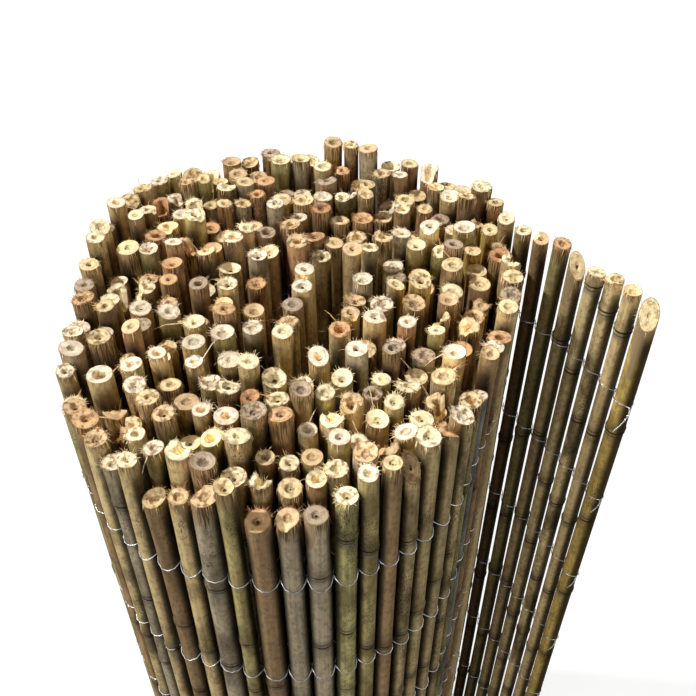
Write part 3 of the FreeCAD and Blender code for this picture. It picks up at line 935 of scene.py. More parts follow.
    def build(self, mesh: PieceMesh) -> None:
        """Adds the closed surface of the cane to a piece.

        Args:
            mesh: the piece.
        """
        skin, depths = self.skin_points()
        end, shares = self.end_points()
        columns = self.segments
        foot_shares = np.array(self.foot_rings)
        foot_axis = self.axis_at(np.array([self.stem.foot]))[0]
        base = np.broadcast_to(skin[0], (2, columns, 3)).copy()
        base[..., :2] = foot_axis + (base[..., :2] - foot_axis) * foot_shares[:, None, None]
        base[1, :, 2] += self.foot_hollow
        rings = np.concatenate([base[::-1], skin, end])
        poles = np.array([[*foot_axis, base[1, 0, 2]], end[-1].mean(axis=0)])
        points = np.concatenate([rings.reshape(-1, 3), poles])
        ring_count = len(rings)
        quads = grid_quads(ring_count, columns)
        slots = np.ones((ring_count - 1, columns), dtype=int)
        slots[2:2 + len(skin) - 1] = 0
        triangles = np.concatenate([
            fan(0, ring_count * columns, columns, False),
            fan((ring_count - 1) * columns, ring_count * columns + 1, columns, True),
        ])
        share = np.concatenate([foot_shares[::-1], np.ones(len(skin)), shares])
        depth = np.concatenate([np.full(2, 1.0), depths, np.zeros(len(shares))])
        share = np.append(np.repeat(share, columns), [0.0, 0.0])
        depth = np.append(np.repeat(depth, columns), [1.0, 0.0])
        theta = np.append(np.tile(self.theta, ring_count), [0.0, 0.0])
        on_skin = share > 0.99
        # Only the skin takes the painted shade where it faces into a gap between canes
        marks = self.marks(points[:, 2], depth, share, self.peel(theta, depth) * on_skin,
                           self.gap_shade(theta, depth) * on_skin)
        mesh.add(points, quads, triangles, 1, marks, slots.ravel())
        self.add_fibres(mesh)

    def add_fibres(self, mesh: PieceMesh) -> None:
        """Adds the burr that the saw left on one side and the fibres that hang off a frayed rim.

        A burr stands out from the rim and droops a little, and a hanging fibre lies along the
        skin. Each starts on the rim at its own angle, and a line of three points bends it.

        Args:
            mesh: the piece.
        """
        look, draw, stem, sizes = self.look, self.draw, self.stem, self.fibres
        burrs = int(sizes.fewest_burrs + look.burr * sizes.more_burrs)
        full = self.detailed or look.fray > 0.5
        hanging = int(look.fray * (sizes.hanging if full else sizes.hanging_behind))
        facing = sizes.burr_facing + sizes.facing_by_tilt * self.tilt_facing
        side = facing + draw.normal(0, sizes.burr_spread, burrs)
        theta = np.concatenate([side, draw.uniform(0, FULL_TURN, hanging)])
        count = len(theta)
        standing = np.arange(count) < burrs
        rim = self.radius_at(np.full(count, stem.top), theta)
        sunk = draw.uniform(*sizes.root_depth, count) * MM
        height = self.end_height(theta, np.full(count, sizes.rim_share)) - sunk
        outward = np.stack([np.cos(theta), np.sin(theta), np.zeros(count)], axis=-1)
        root = self.placed(theta, sizes.root_share * rim, height)
        burr_length = draw.gamma(*sizes.burr_length, count)
        length = np.where(standing, burr_length, draw.uniform(*sizes.hanging_length, count))
        straw = (np.arange(count) == 0) & (draw.uniform(0, 1) < self.straw_share)
        length = np.where(straw, draw.uniform(*sizes.straw_length), length) * MM
        round_rim = np.stack([-np.sin(theta), np.cos(theta), 0 * theta], axis=-1)
        aside = draw.normal(0, sizes.aside, (count, 1)) * round_rim
        upward = np.array([0.0, 0.0, 1.0])
        rise = np.where(standing, draw.uniform(*sizes.burr_rise, count), -1.0)[:, None] * upward
        out = np.where(standing, 1.0, draw.uniform(*sizes.hanging_out, count))[:, None] * outward
        heading = out + sizes.aside_burr * aside * standing[:, None] + sizes.aside_hanging * aside + rise
        heading /= np.linalg.norm(heading, axis=1)[:, None]
        droop = np.where(standing, -sizes.burr_droop, 0.0)[:, None] * upward
        start = np.where(standing[:, None], root, root + outward * (sizes.clear_of_rim * rim)[:, None])
        middle = start + heading * (sizes.bends_at * length)[:, None]
        line = np.stack([start, middle, start + (heading + droop) * length[:, None]], axis=1)
        burr_width = draw.uniform(*sizes.burr_width, count)
        width = np.where(standing, burr_width, draw.uniform(*sizes.hanging_width, count))
        width = np.where(straw, sizes.straw_width, width) * MM
        blades(mesh, line, width, self.fibre_marks, 2)


def blades(mesh: PieceMesh, line: np.ndarray, width: np.ndarray,
           marks: Callable[[np.ndarray], Marks], slot: int) -> None:
    """Adds thin closed spikes, each a three-sided rod along a line that ends in a point.

    Args:
        mesh: the piece.
        line: blades by points by 3, from root to tip.
        width: half thickness of each blade at its root.
        marks: function that gives the marks for the heights of points.
        slot: material slot.
    """
    count, length = line.shape[:2]
    ahead = line[:, -1] - line[:, 0]
    ahead /= np.linalg.norm(ahead, axis=1)[:, None]
    steep = np.abs(ahead[:, 2:3]) > 0.8
    helper = np.where(steep, np.array([[1.0, 0.0, 0.0]]), np.array([[0.0, 0.0, 1.0]]))
    side = np.cross(ahead, helper)
    side /= np.linalg.norm(side, axis=1)[:, None]
    over = np.cross(side, ahead)
    angles = np.arange(3) * FULL_TURN / 3
    cosine, sine = np.cos(angles)[None, :, None], np.sin(angles)[None, :, None]
    ring = cosine * side[:, None, :] + sine * over[:, None, :]
    shrink = np.linspace(1.0, 0.7, length - 1)
    body = line[:, :-1, None, :] + ring[:, None] * (width[:, None] * shrink)[:, :, None, None]
    points = np.concatenate([body.reshape(count, -1, 3), line[:, -1:]], axis=1)
    per = points.shape[1]
    own = grid_quads(length - 1, 3)[:, ::-1]
    closing = np.concatenate([fan((length - 2) * 3, per - 1, 3, False), [[0, 1, 2]]])
    base = (np.arange(count) * per)[:, None, None]
    quads = (own[None] + base).reshape(-1, 4)
    triangles = (closing[None] + base).reshape(-1, 3)
    flat = points.reshape(-1, 3)
    mesh.add(flat, quads, triangles, slot, marks(flat[:, 2]), np.full(len(quads), slot))


def tube(mesh: PieceMesh, line: np.ndarray, radius: float, sides: int) -> None:
    """Adds a closed round rod along a line that stays roughly level.

    Each ring stands square to the line: one arm is level and the other completes the frame.

    Args:
        mesh: the piece.
        line: points by 3.
        radius: radius of the rod.
        sides: how many points a ring has.
    """
    ahead = np.gradient(line, axis=0)
    ahead /= np.linalg.norm(ahead, axis=1)[:, None]
    side = np.cross(ahead, np.array([0.0, 0.0, 1.0]))
    side /= np.linalg.norm(side, axis=1)[:, None] + 1e-12
    over = np.cross(side, ahead)
    angles = np.arange(sides) * FULL_TURN / sides
    cosine, sine = np.cos(angles)[None, :, None], np.sin(angles)[None, :, None]
    ring = cosine * side[:, None, :] + sine * over[:, None, :]
    rings = line[:, None, :] + radius * ring
    points = np.concatenate([rings.reshape(-1, 3), line[[0, -1]]])
    count = len(line) * sides
    quads = grid_quads(len(line), sides)[:, ::-1]
    triangles = np.concatenate([fan(0, count, sides, True), fan(count - sides, count + 1, sides, False)])
    mesh.add(points, quads, triangles, 0, {})


# Weights that average the noise of a wire row over neighbours, and a long even window
NEIGHBOURS = np.array([0.15, 0.2, 0.3, 0.2, 0.15])
SLOW_WINDOW = np.ones(41) / 6.4


@dataclass
class WireRow:
    """Two strands that are twined round every cane of the row at one height.

    Over a cane a strand lies on an arc round it, on the outer side of one cane and the inner
    side of the next. In each gap the strands cross, one above the other, with half a twist.
    """

    order: Sequence[Stem]
    number: int
    height: float
    draw: np.random.Generator
    wire: float = 0.9 * MM
    air: float = 0.12 * MM
    unevenness: float = 2.2 * MM
    quick_share: float = 0.9
    slow_share: float = 0.5
    twist: float = 0.5 * MM
    sag: float = 6.4 * MM
    loose_sag: float = 8.6 * MM
    sag_wave: float = 5.3
    swing: Range = (0.65, 0.35)
    sag_power: float = 1.3
    inner_rise: float = 0.3
    least_gap: float = 1.02
    arc_points: int = 6
    sides: int = 5
    first_tail: float = 24 * MM
    lower_tail: float = 14 * MM
    tail_pitch: float = 7.5 * MM
    tail_points: int = 30
    tail_start: float = 0.12
    tail_width: float = 0.52
    tail_leaves: Place = (0.05, -0.9, -0.1)
    tail_hangs: Place = (-0.55, -0.62, -0.55)

    def __post_init__(self) -> None:
        """Draws the uneven height of the row at each cane."""
        self.levels = self.drawn_levels()

    def drawn_levels(self) -> np.ndarray:
        """Height of the row at each cane: noise averaged over neighbours, and a slow drift.

        Returns:
            One height for each cane.
        """
        noise = self.draw.normal(0, 1.0, len(self.order) + len(NEIGHBOURS) - 1)
        drift = self.draw.normal(0, 1.0, len(self.order) + len(SLOW_WINDOW) - 1)
        quick = np.convolve(noise, NEIGHBOURS, mode="valid")
        slow = np.convolve(drift, SLOW_WINDOW, mode="valid")
        return self.height + self.unevenness * (self.quick_share * quick + self.slow_share * slow)

    def touching(self, reach: np.ndarray, gap: np.ndarray) -> np.ndarray:
        """Angle at which a line from the middle of a gap touches the circle round a cane."""
        return np.arccos(np.clip(reach / np.maximum(gap / 2, reach * self.least_gap), 0, 1))

    def strand(self, first_side: int) -> np.ndarray:
        """Line of one strand.

        A straight line from the middle of a gap touches the circle round a cane where the
        cosine of the angle is the circle's radius over the distance to the gap.

        Args:
            first_side: 1 where the strand lies outside the last cane, -1 where it lies inside.

        Returns:
            Points by 3 from the inner tail to the free end.
        """
        places = np.array([(stem.x, stem.y) for stem in self.order])
        reach = np.array([stem.girth for stem in self.order]) + self.wire / 2 + self.air
        count = len(places)
        side = first_side * (-1.0) ** (np.arange(count)[::-1])
        gap = np.hypot(*np.diff(places, axis=0).T)
        gap = np.concatenate([[gap[0]], gap, [gap[-1]]])
        share = np.linspace(0, 1, self.arc_points)[None, :]
        first = np.pi - self.touching(reach, gap[:-1])
        angle = first[:, None] * (1 - share) + self.touching(reach, gap[1:])[:, None] * share
        along = np.cos(angle) * reach[:, None]
        outward = np.sin(angle) * reach[:, None] * side[:, None]
        heading = np.array([stem.heading for stem in self.order])
        cosine, sine = np.cos(heading)[:, None], np.sin(heading)[:, None]
        x = places[:, :1] + along * cosine - outward * sine
        y = places[:, 1:] + along * sine + outward * cosine
        arcs = np.stack([x, y, self.hanging(angle, side)], axis=-1)
        lift = self.twist * first_side * np.where(np.arange(count - 1) % 2 == 0, 1.0, -1.0)
        middles = (places[:-1] + places[1:]) / 2
        crossings = np.column_stack([middles, (self.levels[:-1] + self.levels[1:]) / 2 + lift])
        joined = np.concatenate([arcs[:-1], crossings[:, None, :]], axis=1).reshape(-1, 3)
        return np.concatenate([joined, arcs[-1]])

    def hanging(self, angle: np.ndarray, side: np.ndarray) -> np.ndarray:
        """Height of a strand over each cane: it sags where it passes outside, as a sine's power.

        Args:
            angle: angles of the arc's points, one row for each cane.
            side: 1 where the strand passes outside a cane, -1 where it passes inside.

        Returns:
            One height for each angle.
        """
        loose = np.array([stem.free for stem in self.order])
        swing = self.swing[0] + self.swing[1] * np.sin(self.sag_wave * np.arange(len(self.order)))
        sag = np.where(loose, self.loose_sag, self.sag) * swing
        droop = sag[:, None] * np.sin(angle) ** self.sag_power
        return self.levels[:, None] - droop * np.where(side > 0, 1.0, -self.inner_rise)[:, None]

    def tail(self, line: np.ndarray, other: np.ndarray, phase: float) -> np.ndarray:
        """Twisted end of a strand: a helix round a line that bends down in front of the end cane.

        Args:
            line: the strand.
            other: the other strand.
            phase: where the helix starts, in radians.

        Returns:
            The points that go on from the strand's end.
        """
        start = (line[-1] + other[-1]) / 2
        length = self.first_tail if self.number == 1 else self.lower_tail
        share = np.linspace(self.tail_start, 1, self.tail_points)
        leaving = share[:, None] * np.array(self.tail_leaves) * (1 - share[:, None])
        axis = start + length * (leaving + share[:, None] ** 2 * np.array(self.tail_hangs))
        turn = phase + share * FULL_TURN * length / self.tail_pitch
        round_axis = np.stack([np.cos(turn) * 0.8, 0.3 * np.cos(turn), np.sin(turn)], axis=-1)
        return axis + self.tail_width * self.wire * round_axis

    def build(self, finish: bpy.types.Material) -> List[bpy.types.Object]:
        """Makes both strands.

        Args:
            finish: the wire's material.

        Returns:
            The outer and the inner strand's piece.
        """
        lines = [self.strand(-1), self.strand(1)]
        pieces = []
        for index, (name, line) in enumerate(zip(("outer", "inner"), lines)):
            mesh = PieceMesh()
            tail = self.tail(line, lines[1 - index], np.pi * index)
            tube(mesh, np.concatenate([line, tail]), self.wire / 2, self.sides)
            piece = mesh.finish("twined_wire_%d_%s" % (self.number, name), [finish])
            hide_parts("wire_row_%d_%s_strand" % (self.number, name))
            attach(piece, "root")
            pieces.append(piece)
        return pieces


class Shader:
    """Short way to add and join the nodes of one material or node group."""

    def __init__(self, tree: bpy.types.NodeTree) -> None:
        """Keeps the node tree."""
        self.tree = tree

    def node(self, kind: str, **settings: object) -> bpy.types.Node:
        """Adds a node and sets its properties.

        Args:
            kind: the node's type.
            settings: its properties by name.

        Returns:
            The node.
        """
        made = self.tree.nodes.new(kind)
        for name, value in settings.items():
            setattr(made, name, value)
        return made

    def feed(self, socket: bpy.types.NodeSocket, value: Feed) -> None:
        """Joins an output to a socket, or sets the socket's own value."""
        if isinstance(value, bpy.types.NodeSocket):
            self.tree.links.new(value, socket)
        else:
            socket.default_value = value

    def maths(self, operation: str, first: Feed, second: Feed = 0.0,
              clamp: bool = False) -> bpy.types.NodeSocket:
        """Result of a Math node.

        Args:
            operation: what the node does.
            first: first value.
            second: second value, where the operation has one.
            clamp: whether the result is kept from 0 to 1.

        Returns:
            The result.
        """
        made = self.node("ShaderNodeMath", operation=operation, use_clamp=clamp)
        self.feed(made.inputs[0], first)
        self.feed(made.inputs[1], second)
        return made.outputs[0]

    def times(self, first: Feed, second: Feed) -> bpy.types.NodeSocket:
        """Product of two values."""
        return self.maths("MULTIPLY", first, second)

    def plus(self, first: Feed, second: Feed) -> bpy.types.NodeSocket:
        """Sum of two values."""
        return self.maths("ADD", first, second)

    def less(self, first: Feed, second: Feed) -> bpy.types.NodeSocket:
        """First value less the second."""
        return self.maths("SUBTRACT", first, second)

    def size_of(self, value: Feed) -> bpy.types.NodeSocket:
        """A value without its sign."""
        return self.maths("ABSOLUTE", value)

    def step(self, value: Feed, low: float, high: float,
             start: float = 0.0, end: float = 1.0) -> bpy.types.NodeSocket:
        """Eased change from start to end while a value goes from low to high.

        Args:
            value: what the change follows.
            low: value where the change begins.
            high: value where it ends.
            start: result below low.
            end: result above high.

        Returns:
            The result.
        """
        made = self.node("ShaderNodeMapRange", interpolation_type="SMOOTHSTEP")
        for socket, amount in zip(made.inputs[:5], (value, low, high, start, end)):
            self.feed(socket, amount)
        return made.outputs[0]

    def mix(self, share: Feed, first: Feed, second: Feed) -> bpy.types.NodeSocket:
        """Mix of two colours.

        Args:
            share: share of the second colour.
            first: first colour.
            second: second colour.

        Returns:
            The mixed colour.
        """
        made = self.node("ShaderNodeMix", data_type="RGBA")
        self.feed(made.inputs[0], share)
        self.feed(made.inputs[6], first)
        self.feed(made.inputs[7], second)
        return made.outputs[2]

    def noise(self, vector: Feed, scale: Feed, detail: float = 2.0,
              rough: float = 0.5) -> bpy.types.NodeSocket:
        """Value of a noise texture.

        Args:
            vector: coordinates.
            scale: how fine it is.
            detail: how many finer layers it has.
            rough: how much they count.

        Returns:
            The value.
        """
        made = self.node("ShaderNodeTexNoise")
        for name, value in (("Vector", vector), ("Scale", scale), ("Detail", detail), ("Roughness", rough)):
            self.feed(made.inputs[name], value)
        return made.outputs["Fac"]

    def stretched(self, vector: Feed, across: Feed, along: Feed) -> bpy.types.NodeSocket:
        """Coordinates scaled across and along the canes.

        Args:
            vector: coordinates.
            across: factor of x and y.
            along: factor of z.

        Returns:
            The new coordinates.
        """
        factors = self.node("ShaderNodeCombineXYZ")
        for socket, factor in zip(factors.inputs, (across, across, along)):
            self.feed(socket, factor)
        made = self.node("ShaderNodeVectorMath", operation="MULTIPLY")
        self.feed(made.inputs[0], vector)
        self.feed(made.inputs[1], factors.outputs[0])
        return made.outputs[0]

    def place(self) -> bpy.types.NodeSocket:
        """Object coordinates."""
        return self.node("ShaderNodeTexCoord").outputs["Object"]

    def mark(self, name: str, coloured: bool = False) -> bpy.types.NodeSocket:
        """Value or colour that a mesh attribute holds."""
        made = self.node("ShaderNodeAttribute", attribute_name=name)
        return made.outputs["Color"] if coloured else made.outputs["Fac"]

    def use(self, group: bpy.types.NodeTree, **inputs: Feed) -> bpy.types.NodeSocket:
        """Places a node group and gives its only output.

        Args:
            group: the node group.
            inputs: values or outputs by the name of the input.

        Returns:
            The group's output.
        """
        made = self.node("ShaderNodeGroup", node_tree=group)
        for name, value in inputs.items():
            self.feed(made.inputs[name], value)
        return made.outputs[0]

    def bump(self, surface: bpy.types.Node, height: Feed, strength: float, depth: float) -> None:
        """Gives a surface node the relief of a height.

        Args:
            surface: the surface node.
            height: height of the relief.
            strength: how strongly it shows.
            depth: its depth in metres.
        """
        made = self.node("ShaderNodeBump")
        for name, value in (("Height", height), ("Strength", strength), ("Distance", depth)):
            self.feed(made.inputs[name], value)
        self.feed(surface.inputs["Normal"], made.outputs[0])


Group = Tuple[Shader, Dict[str, bpy.types.NodeSocket], bpy.types.NodeSocket]


def new_group(name: str, inputs: Sequence[Tuple[str, str]], output: Tuple[str, str]) -> Group:
    """Starts a shader node group.

    Args:
        name: the group's name.
        inputs: name and kind of each input.
        output: name and kind of its output.

    Returns:
        A shader for the group, its inputs by name, and the socket that takes its output.
    """
    group = bpy.data.node_groups.new(name, "ShaderNodeTree")
    for label, kind in inputs:
        group.interface.new_socket(name=label, in_out="INPUT", socket_type="NodeSocket" + kind)
    group.interface.new_socket(name=output[0], in_out="OUTPUT", socket_type="NodeSocket" + output[1])
    shader = Shader(group)
    taken = {socket.name: socket for socket in shader.node("NodeGroupInput").outputs}
    return shader, taken, shader.node("NodeGroupOutput").inputs[output[0]]


class Effects:
    """Node groups that more than one finish uses."""

    def __init__(self) -> None:
        """Builds every group once."""
        self.grain = self.build_grain()
        self.specks = self.build_specks()
        self.stain = self.build_stain()

    def build_grain(self) -> bpy.types.NodeTree:
        """Streaks along the cane: noise whose coordinates are drawn out lengthwise.

        Returns:
            The group.
        """
        shader, taken, given = new_group(
            "Lengthwise Grain", [("Place", "Vector"), ("Across", "Float"), ("Along", "Float")],
            ("Streak", "Float"))
        place = shader.stretched(taken["Place"], taken["Across"], taken["Along"])
        shader.feed(given, shader.step(shader.noise(place, 1.0, 4.0, 0.62), 0.30, 0.70))
        return shader.tree

    def build_specks(self) -> bpy.types.NodeTree:
        """Mould specks: peaks of a fine noise, kept only where a coarse noise is high.

        Returns:
            The group.
        """
        shader, taken, given = new_group(
            "Mould Specks", [("Place", "Vector"), ("Size", "Float"), ("Amount", "Float")],
            ("Mask", "Float"))
        lengthwise = shader.times(taken["Size"], 0.45)
        fine = shader.noise(shader.stretched(taken["Place"], taken["Size"], lengthwise), 1.0, 2.0, 0.6)
        coarse = shader.noise(shader.stretched(taken["Place"], 55.0, 26.0), 1.0, 2.0, 0.55)
        cluster = shader.step(shader.plus(coarse, shader.times(taken["Amount"], 0.26)), 0.58, 0.88)
        dots = shader.step(shader.plus(fine, shader.times(cluster, 0.10)), 0.60, 0.70)
        shader.feed(given, shader.maths("MULTIPLY", dots, cluster, clamp=True))
        return shader.tree

    def build_stain(self) -> bpy.types.NodeTree:
        """Uneven tone: a colour pulled towards a stain in soft patches.

        Returns:
            The group.
        """
        shader, taken, given = new_group(
            "Patchy Stain",
            [("Place", "Vector"), ("Scale", "Float"), ("Colour", "Color"), ("Stain", "Color"),
             ("Amount", "Float")],
            ("Colour", "Color"))
        patch = shader.step(shader.noise(taken["Place"], taken["Scale"], 3.0), 0.42, 0.66)
        share = shader.maths("MULTIPLY", patch, taken["Amount"], clamp=True)
        shader.feed(given, shader.mix(share, taken["Colour"], taken["Stain"]))
        return shader.tree


def plain_material(name: str) -> Tuple[bpy.types.Material, Shader, bpy.types.Node]:
    """Starts a material.

    Args:
        name: its name.

    Returns:
        The material, a shader for its nodes, and its surface node.
    """
    material = bpy.data.materials.new(name)
    material.use_nodes = True
    surface = material.node_tree.nodes["Principled BSDF"]
    return material, Shader(material.node_tree), surface


@dataclass(frozen=True)
class BambooSkin:
    """Weathered skin: tinted, streaked, mouldy, banded at the knuckles and dry at the top, with
    painted shade where it faces into a gap between canes.

    A grain tells how fine its streaks are across and along the cane. Distances from a knuckle
    are counted in 20 mm, and depths under the rim in 40 mm, as the marks hold them.
    """

    dry: Colour = picked(180, 137, 88)
    slit: Colour = picked(98, 70, 44)
    mould: Colour = picked(36, 30, 24)
    # Near-black colour of the shade painted into the gaps between canes
    gap_shade_colour: Colour = picked(28, 24, 18)
    shade: Colour = picked(80, 66, 46)
    wax: Colour = picked(182, 176, 158)
    wood: Colour = picked(218, 192, 147)
    fine_grain: Range = (1500.0, 26.0)
    wide_grain: Range = (420.0, 7.0)
    needle_grain: Range = (980.0, 34.0)
    speck_size: float = 1300.0
    knuckle_groove: float = 0.085
    knuckle_scar: float = 0.255
    cloud_scale: float = 60.0
    blotch_scale: float = 320.0
    gloss: float = 0.22
    relief: float = 0.4
    relief_depth: float = 0.16 * MM

    def streaks(self, shader: Shader, effects: Effects, grain: Range) -> bpy.types.NodeSocket:
        """Streaks of one grain."""
        return shader.use(effects.grain, Place=shader.place(), Across=grain[0], Along=grain[1])

    def weathered(self, shader: Shader, effects: Effects, fine: Feed, wide: Feed) -> bpy.types.NodeSocket:
        """Tint of the cane with dark and waxy streaks, clouds and blotches.

        Args:
            shader: the material's shader.
            effects: the shared node groups.
            fine: fine streaks.
            wide: wide streaks.

        Returns:
            The colour.
        """
        place = shader.place()
        tint = shader.mark("skin_tint", coloured=True)
        streaked = shader.mix(shader.times(wide, 0.34), tint, self.shade)
        lighter = shader.mix(shader.times(fine, 0.26), streaked, shader.mix(0.5, tint, self.wax))
        cloudy = shader.use(
            effects.stain, Place=shader.stretched(place, 1.0, 0.35), Scale=self.cloud_scale,
            Colour=lighter, Stain=self.shade, Amount=shader.times(shader.mark("wear"), 0.8))
        return shader.use(
            effects.stain, Place=shader.stretched(place, 1.0, 0.6), Scale=self.blotch_scale,
            Colour=cloudy, Stain=self.shade, Amount=0.32)

    def banded(self, shader: Shader, colour: Feed) -> bpy.types.NodeSocket:
        """Adds what lies at a knuckle: a dark zone, a waxy band, a groove and a leaf scar.

        Args:
            shader: the material's shader.
            colour: the weathered colour.

        Returns:
            The colour.
        """
        apart = shader.mark("from_knuckle")
        smudge = shader.noise(shader.place(), 240.0, 3.0, 0.6)
        around = shader.times(shader.step(shader.size_of(apart), 0.08, 0.75, 1.0, 0.0), smudge)
        zoned = shader.mix(shader.maths("MULTIPLY", around, 0.85, clamp=True), colour, self.shade)
        band = shader.times(shader.step(apart, -0.55, -0.36), shader.step(apart, -0.26, -0.2, 1.0, 0.0))
        waxed = shader.mix(shader.times(band, 0.45), zoned, self.wax)
        from_groove = shader.size_of(shader.plus(apart, self.knuckle_groove))
        from_scar = shader.size_of(shader.plus(apart, self.knuckle_scar))
        groove = shader.step(from_groove, 0.018, 0.06, 1.0, 0.0)
        scar = shader.step(from_scar, 0.012, 0.045, 0.75, 0.0)
        return shader.mix(shader.times(shader.maths("MAXIMUM", groove, scar), 0.92), waxed, self.mould)

    def dried(self, shader: Shader, effects: Effects, fine: Feed, colour: Feed) -> bpy.types.NodeSocket:
        """Turns the skin under a frayed rim into dry wood with dark slits, down to a ragged edge.

        Args:
            shader: the material's shader.
            effects: the shared node groups.
            fine: fine streaks.
            colour: the skin's colour.

        Returns:
            The colour.
        """
        ragged = shader.times(shader.less(fine, 0.5), 0.34)
        edge = shader.plus(shader.times(shader.mark("fray"), 0.58), ragged)
        above = shader.less(edge, shader.mark("under_top"))
        needles = shader.step(self.streaks(shader, effects, self.needle_grain), 0.30, 0.62)
        needled = shader.mix(needles, self.slit, shader.mix(fine, self.dry, self.wood))
        return shader.mix(shader.step(above, -0.02, 0.16, 0.0, 0.85), colour, needled)

    def build(self, effects: Effects) -> bpy.types.Material:
        """Makes the material.

        Args:
            effects: the shared node groups.

        Returns:
            The material.
        """
        material, shader, surface = plain_material("bamboo_skin")
        fine = self.streaks(shader, effects, self.fine_grain)
        wide = self.streaks(shader, effects, self.wide_grain)
        specks = shader.use(effects.specks, Place=shader.place(), Size=self.speck_size,
                            Amount=shader.mark("wear"))
        banded = self.banded(shader, self.weathered(shader, effects, fine, wide))
        speckled = shader.mix(shader.times(specks, 0.66), banded, self.mould)
        dried = self.dried(shader, effects, fine, speckled)
        bare_wood = shader.mix(shader.times(fine, 0.5), self.wood, self.dry)
        peeled = shader.mix(shader.step(shader.mark("peeled"), 0.42, 0.58), dried, bare_wood)
        # Painted shade: the skin goes almost black where it faces into a gap to the next cane
        gap_shaded = shader.mix(shader.times(shader.mark("gap_shade"), 0.9), peeled, self.gap_shade_colour)
        shader.feed(surface.inputs["Base Color"], gap_shaded)
        rough = shader.step(shader.plus(specks, shader.times(wide, 0.6)), 0.0, 1.2, 0.46, 0.78)
        shader.feed(surface.inputs["Roughness"], rough)
        surface.inputs["Specular IOR Level"].default_value = self.gloss
        height = shader.less(shader.plus(fine, shader.times(wide, 0.7)), specks)
        shader.bump(surface, height, self.relief, self.relief_depth)
        return material


@dataclass(frozen=True)
class CutEnd:
    """End grain: dark bundles that crowd towards the rim, a thin rind line and a greyer pith."""

    bundle: Colour = picked(116, 86, 60)
    rind: Colour = picked(178, 138, 86)
    pith: Colour = picked(112, 90, 70)
    fluff: Colour = picked(232, 216, 186)
    stain: Colour = picked(190, 150, 106)
    # Dark brown painted shade for the hole in the middle of the pith
    hollow: Colour = picked(54, 40, 30)
    stain_scale: float = 330.0
    bundle_scale: float = 1250.0
    fine_scale: float = 2600.0
    ring_scales: Place = (11.0, 60.0, 40.0)
    gloss: float = 0.15
    relief: float = 0.7
    relief_depth: float = 0.25 * MM

    def bundles(self, shader: Shader) -> bpy.types.NodeSocket:
        """Mask of the dark bundles: small spots round the points of a cell pattern.

        Args:
            shader: the material's shader.

        Returns:
            The mask.
        """
        cells = shader.node("ShaderNodeTexVoronoi")
        shader.feed(cells.inputs["Vector"], shader.stretched(shader.place(), 1.0, 0.35))
        shader.feed(cells.inputs["Scale"], self.bundle_scale)
        return shader.step(cells.outputs["Distance"], 0.10, 0.36, 1.0, 0.0)

    def wood(self, shader: Shader, effects: Effects, fine: Feed, dots: Feed) -> bpy.types.NodeSocket:
        """Wood of the ring: stained, dotted, faintly ringed, and darker at the rind.

        Args:
            shader: the material's shader.
            effects: the shared node groups.
            fine: fine noise.
            dots: mask of the bundles.

        Returns:
            The colour.
        """
        share, wear = shader.mark("share"), shader.mark("wear")
        tint = shader.mark("end_tint", coloured=True)
        stained = shader.use(effects.stain, Place=shader.place(), Scale=self.stain_scale, Colour=tint,
                             Stain=self.stain, Amount=shader.step(wear, 0.0, 1.0, 0.35, 1.0))
        crowd = shader.step(share, 0.25, 0.95, 0.22, 0.62)
        bundled = shader.mix(shader.times(dots, crowd), stained, self.bundle)
        warmer = shader.mix(0.5, tint, self.rind)
        toned = shader.mix(shader.step(fine, 0.35, 0.7, 0.0, 0.35), bundled, warmer)
        across = shader.node("ShaderNodeCombineXYZ")
        own = (share, shader.mark("pith"), wear)
        for socket, value, scale in zip(across.inputs, own, self.ring_scales):
            shader.feed(socket, shader.times(value, scale))
        rings = shader.step(shader.noise(across.outputs[0], 1.0), 0.50, 0.62, 0.0, 0.34)
        ringed = shader.mix(rings, toned, self.bundle)
        return shader.mix(shader.step(share, 0.90, 0.985, 0.0, 0.75), ringed, self.rind)

    def core(self, shader: Shader, colour: Feed) -> bpy.types.NodeSocket:
        """Adds the felted pith with a dark edge, and painted shade for the hole in its middle where there
        is one.

        Args:
            shader: the material's shader.
            colour: the wood's colour.

        Returns:
            The colour.
        """
        place = shader.place()
        wobble = shader.times(shader.less(shader.noise(place, 520.0), 0.5), 0.42)
        share = shader.mark("share")
        apart = shader.less(shader.plus(share, wobble), shader.mark("pith"))
        greyed = shader.step(shader.noise(place, 420.0, 3.0, 0.6), 0.35, 0.65, 0.35, 0.8)
        felt = shader.mix(greyed, shader.mark("end_tint", coloured=True), self.pith)
        flecks = shader.step(shader.noise(place, 1300.0, 2.0, 0.6), 0.52, 0.66, 0.0, 0.7)
        flecked = shader.mix(flecks, felt, self.fluff)
        felted = shader.mix(shader.step(apart, -0.06, 0.05, 0.9, 0.0), colour, flecked)
        edge = shader.step(shader.size_of(apart), 0.0, 0.10, 0.38, 0.0)
        edged = shader.mix(edge, felted, self.bundle)
        # Painted shade: a dark disc stands for the shadow inside the hole
        inward = shader.less(shader.plus(share, shader.times(wobble, 0.4)), shader.mark("hole"))
        return shader.mix(shader.step(inward, -0.02, 0.05, 0.92, 0.0), edged, self.hollow)

    def build(self, effects: Effects) -> bpy.types.Material:
        """Makes the material.

        Args:
            effects: the shared node groups.

        Returns:
            The material.
        """
        material, shader, surface = plain_material("cut_end")
        fine = shader.noise(shader.place(), self.fine_scale, 2.0, 0.6)
        dots = self.bundles(shader)
        open_core = self.core(shader, self.wood(shader, effects, fine, dots))
        lint = shader.step(shader.noise(shader.place(), 1900.0, 3.0, 0.7), 0.56, 0.68, 0.0, 0.42)
        shader.feed(surface.inputs["Base Color"], shader.mix(lint, open_core, self.fluff))
        shader.feed(surface.inputs["Roughness"], shader.step(fine, 0.2, 0.8, 0.62, 0.9))
        surface.inputs["Specular IOR Level"].default_value = self.gloss
        shader.bump(surface, shader.less(fine, dots), self.relief, self.relief_depth)
        return material


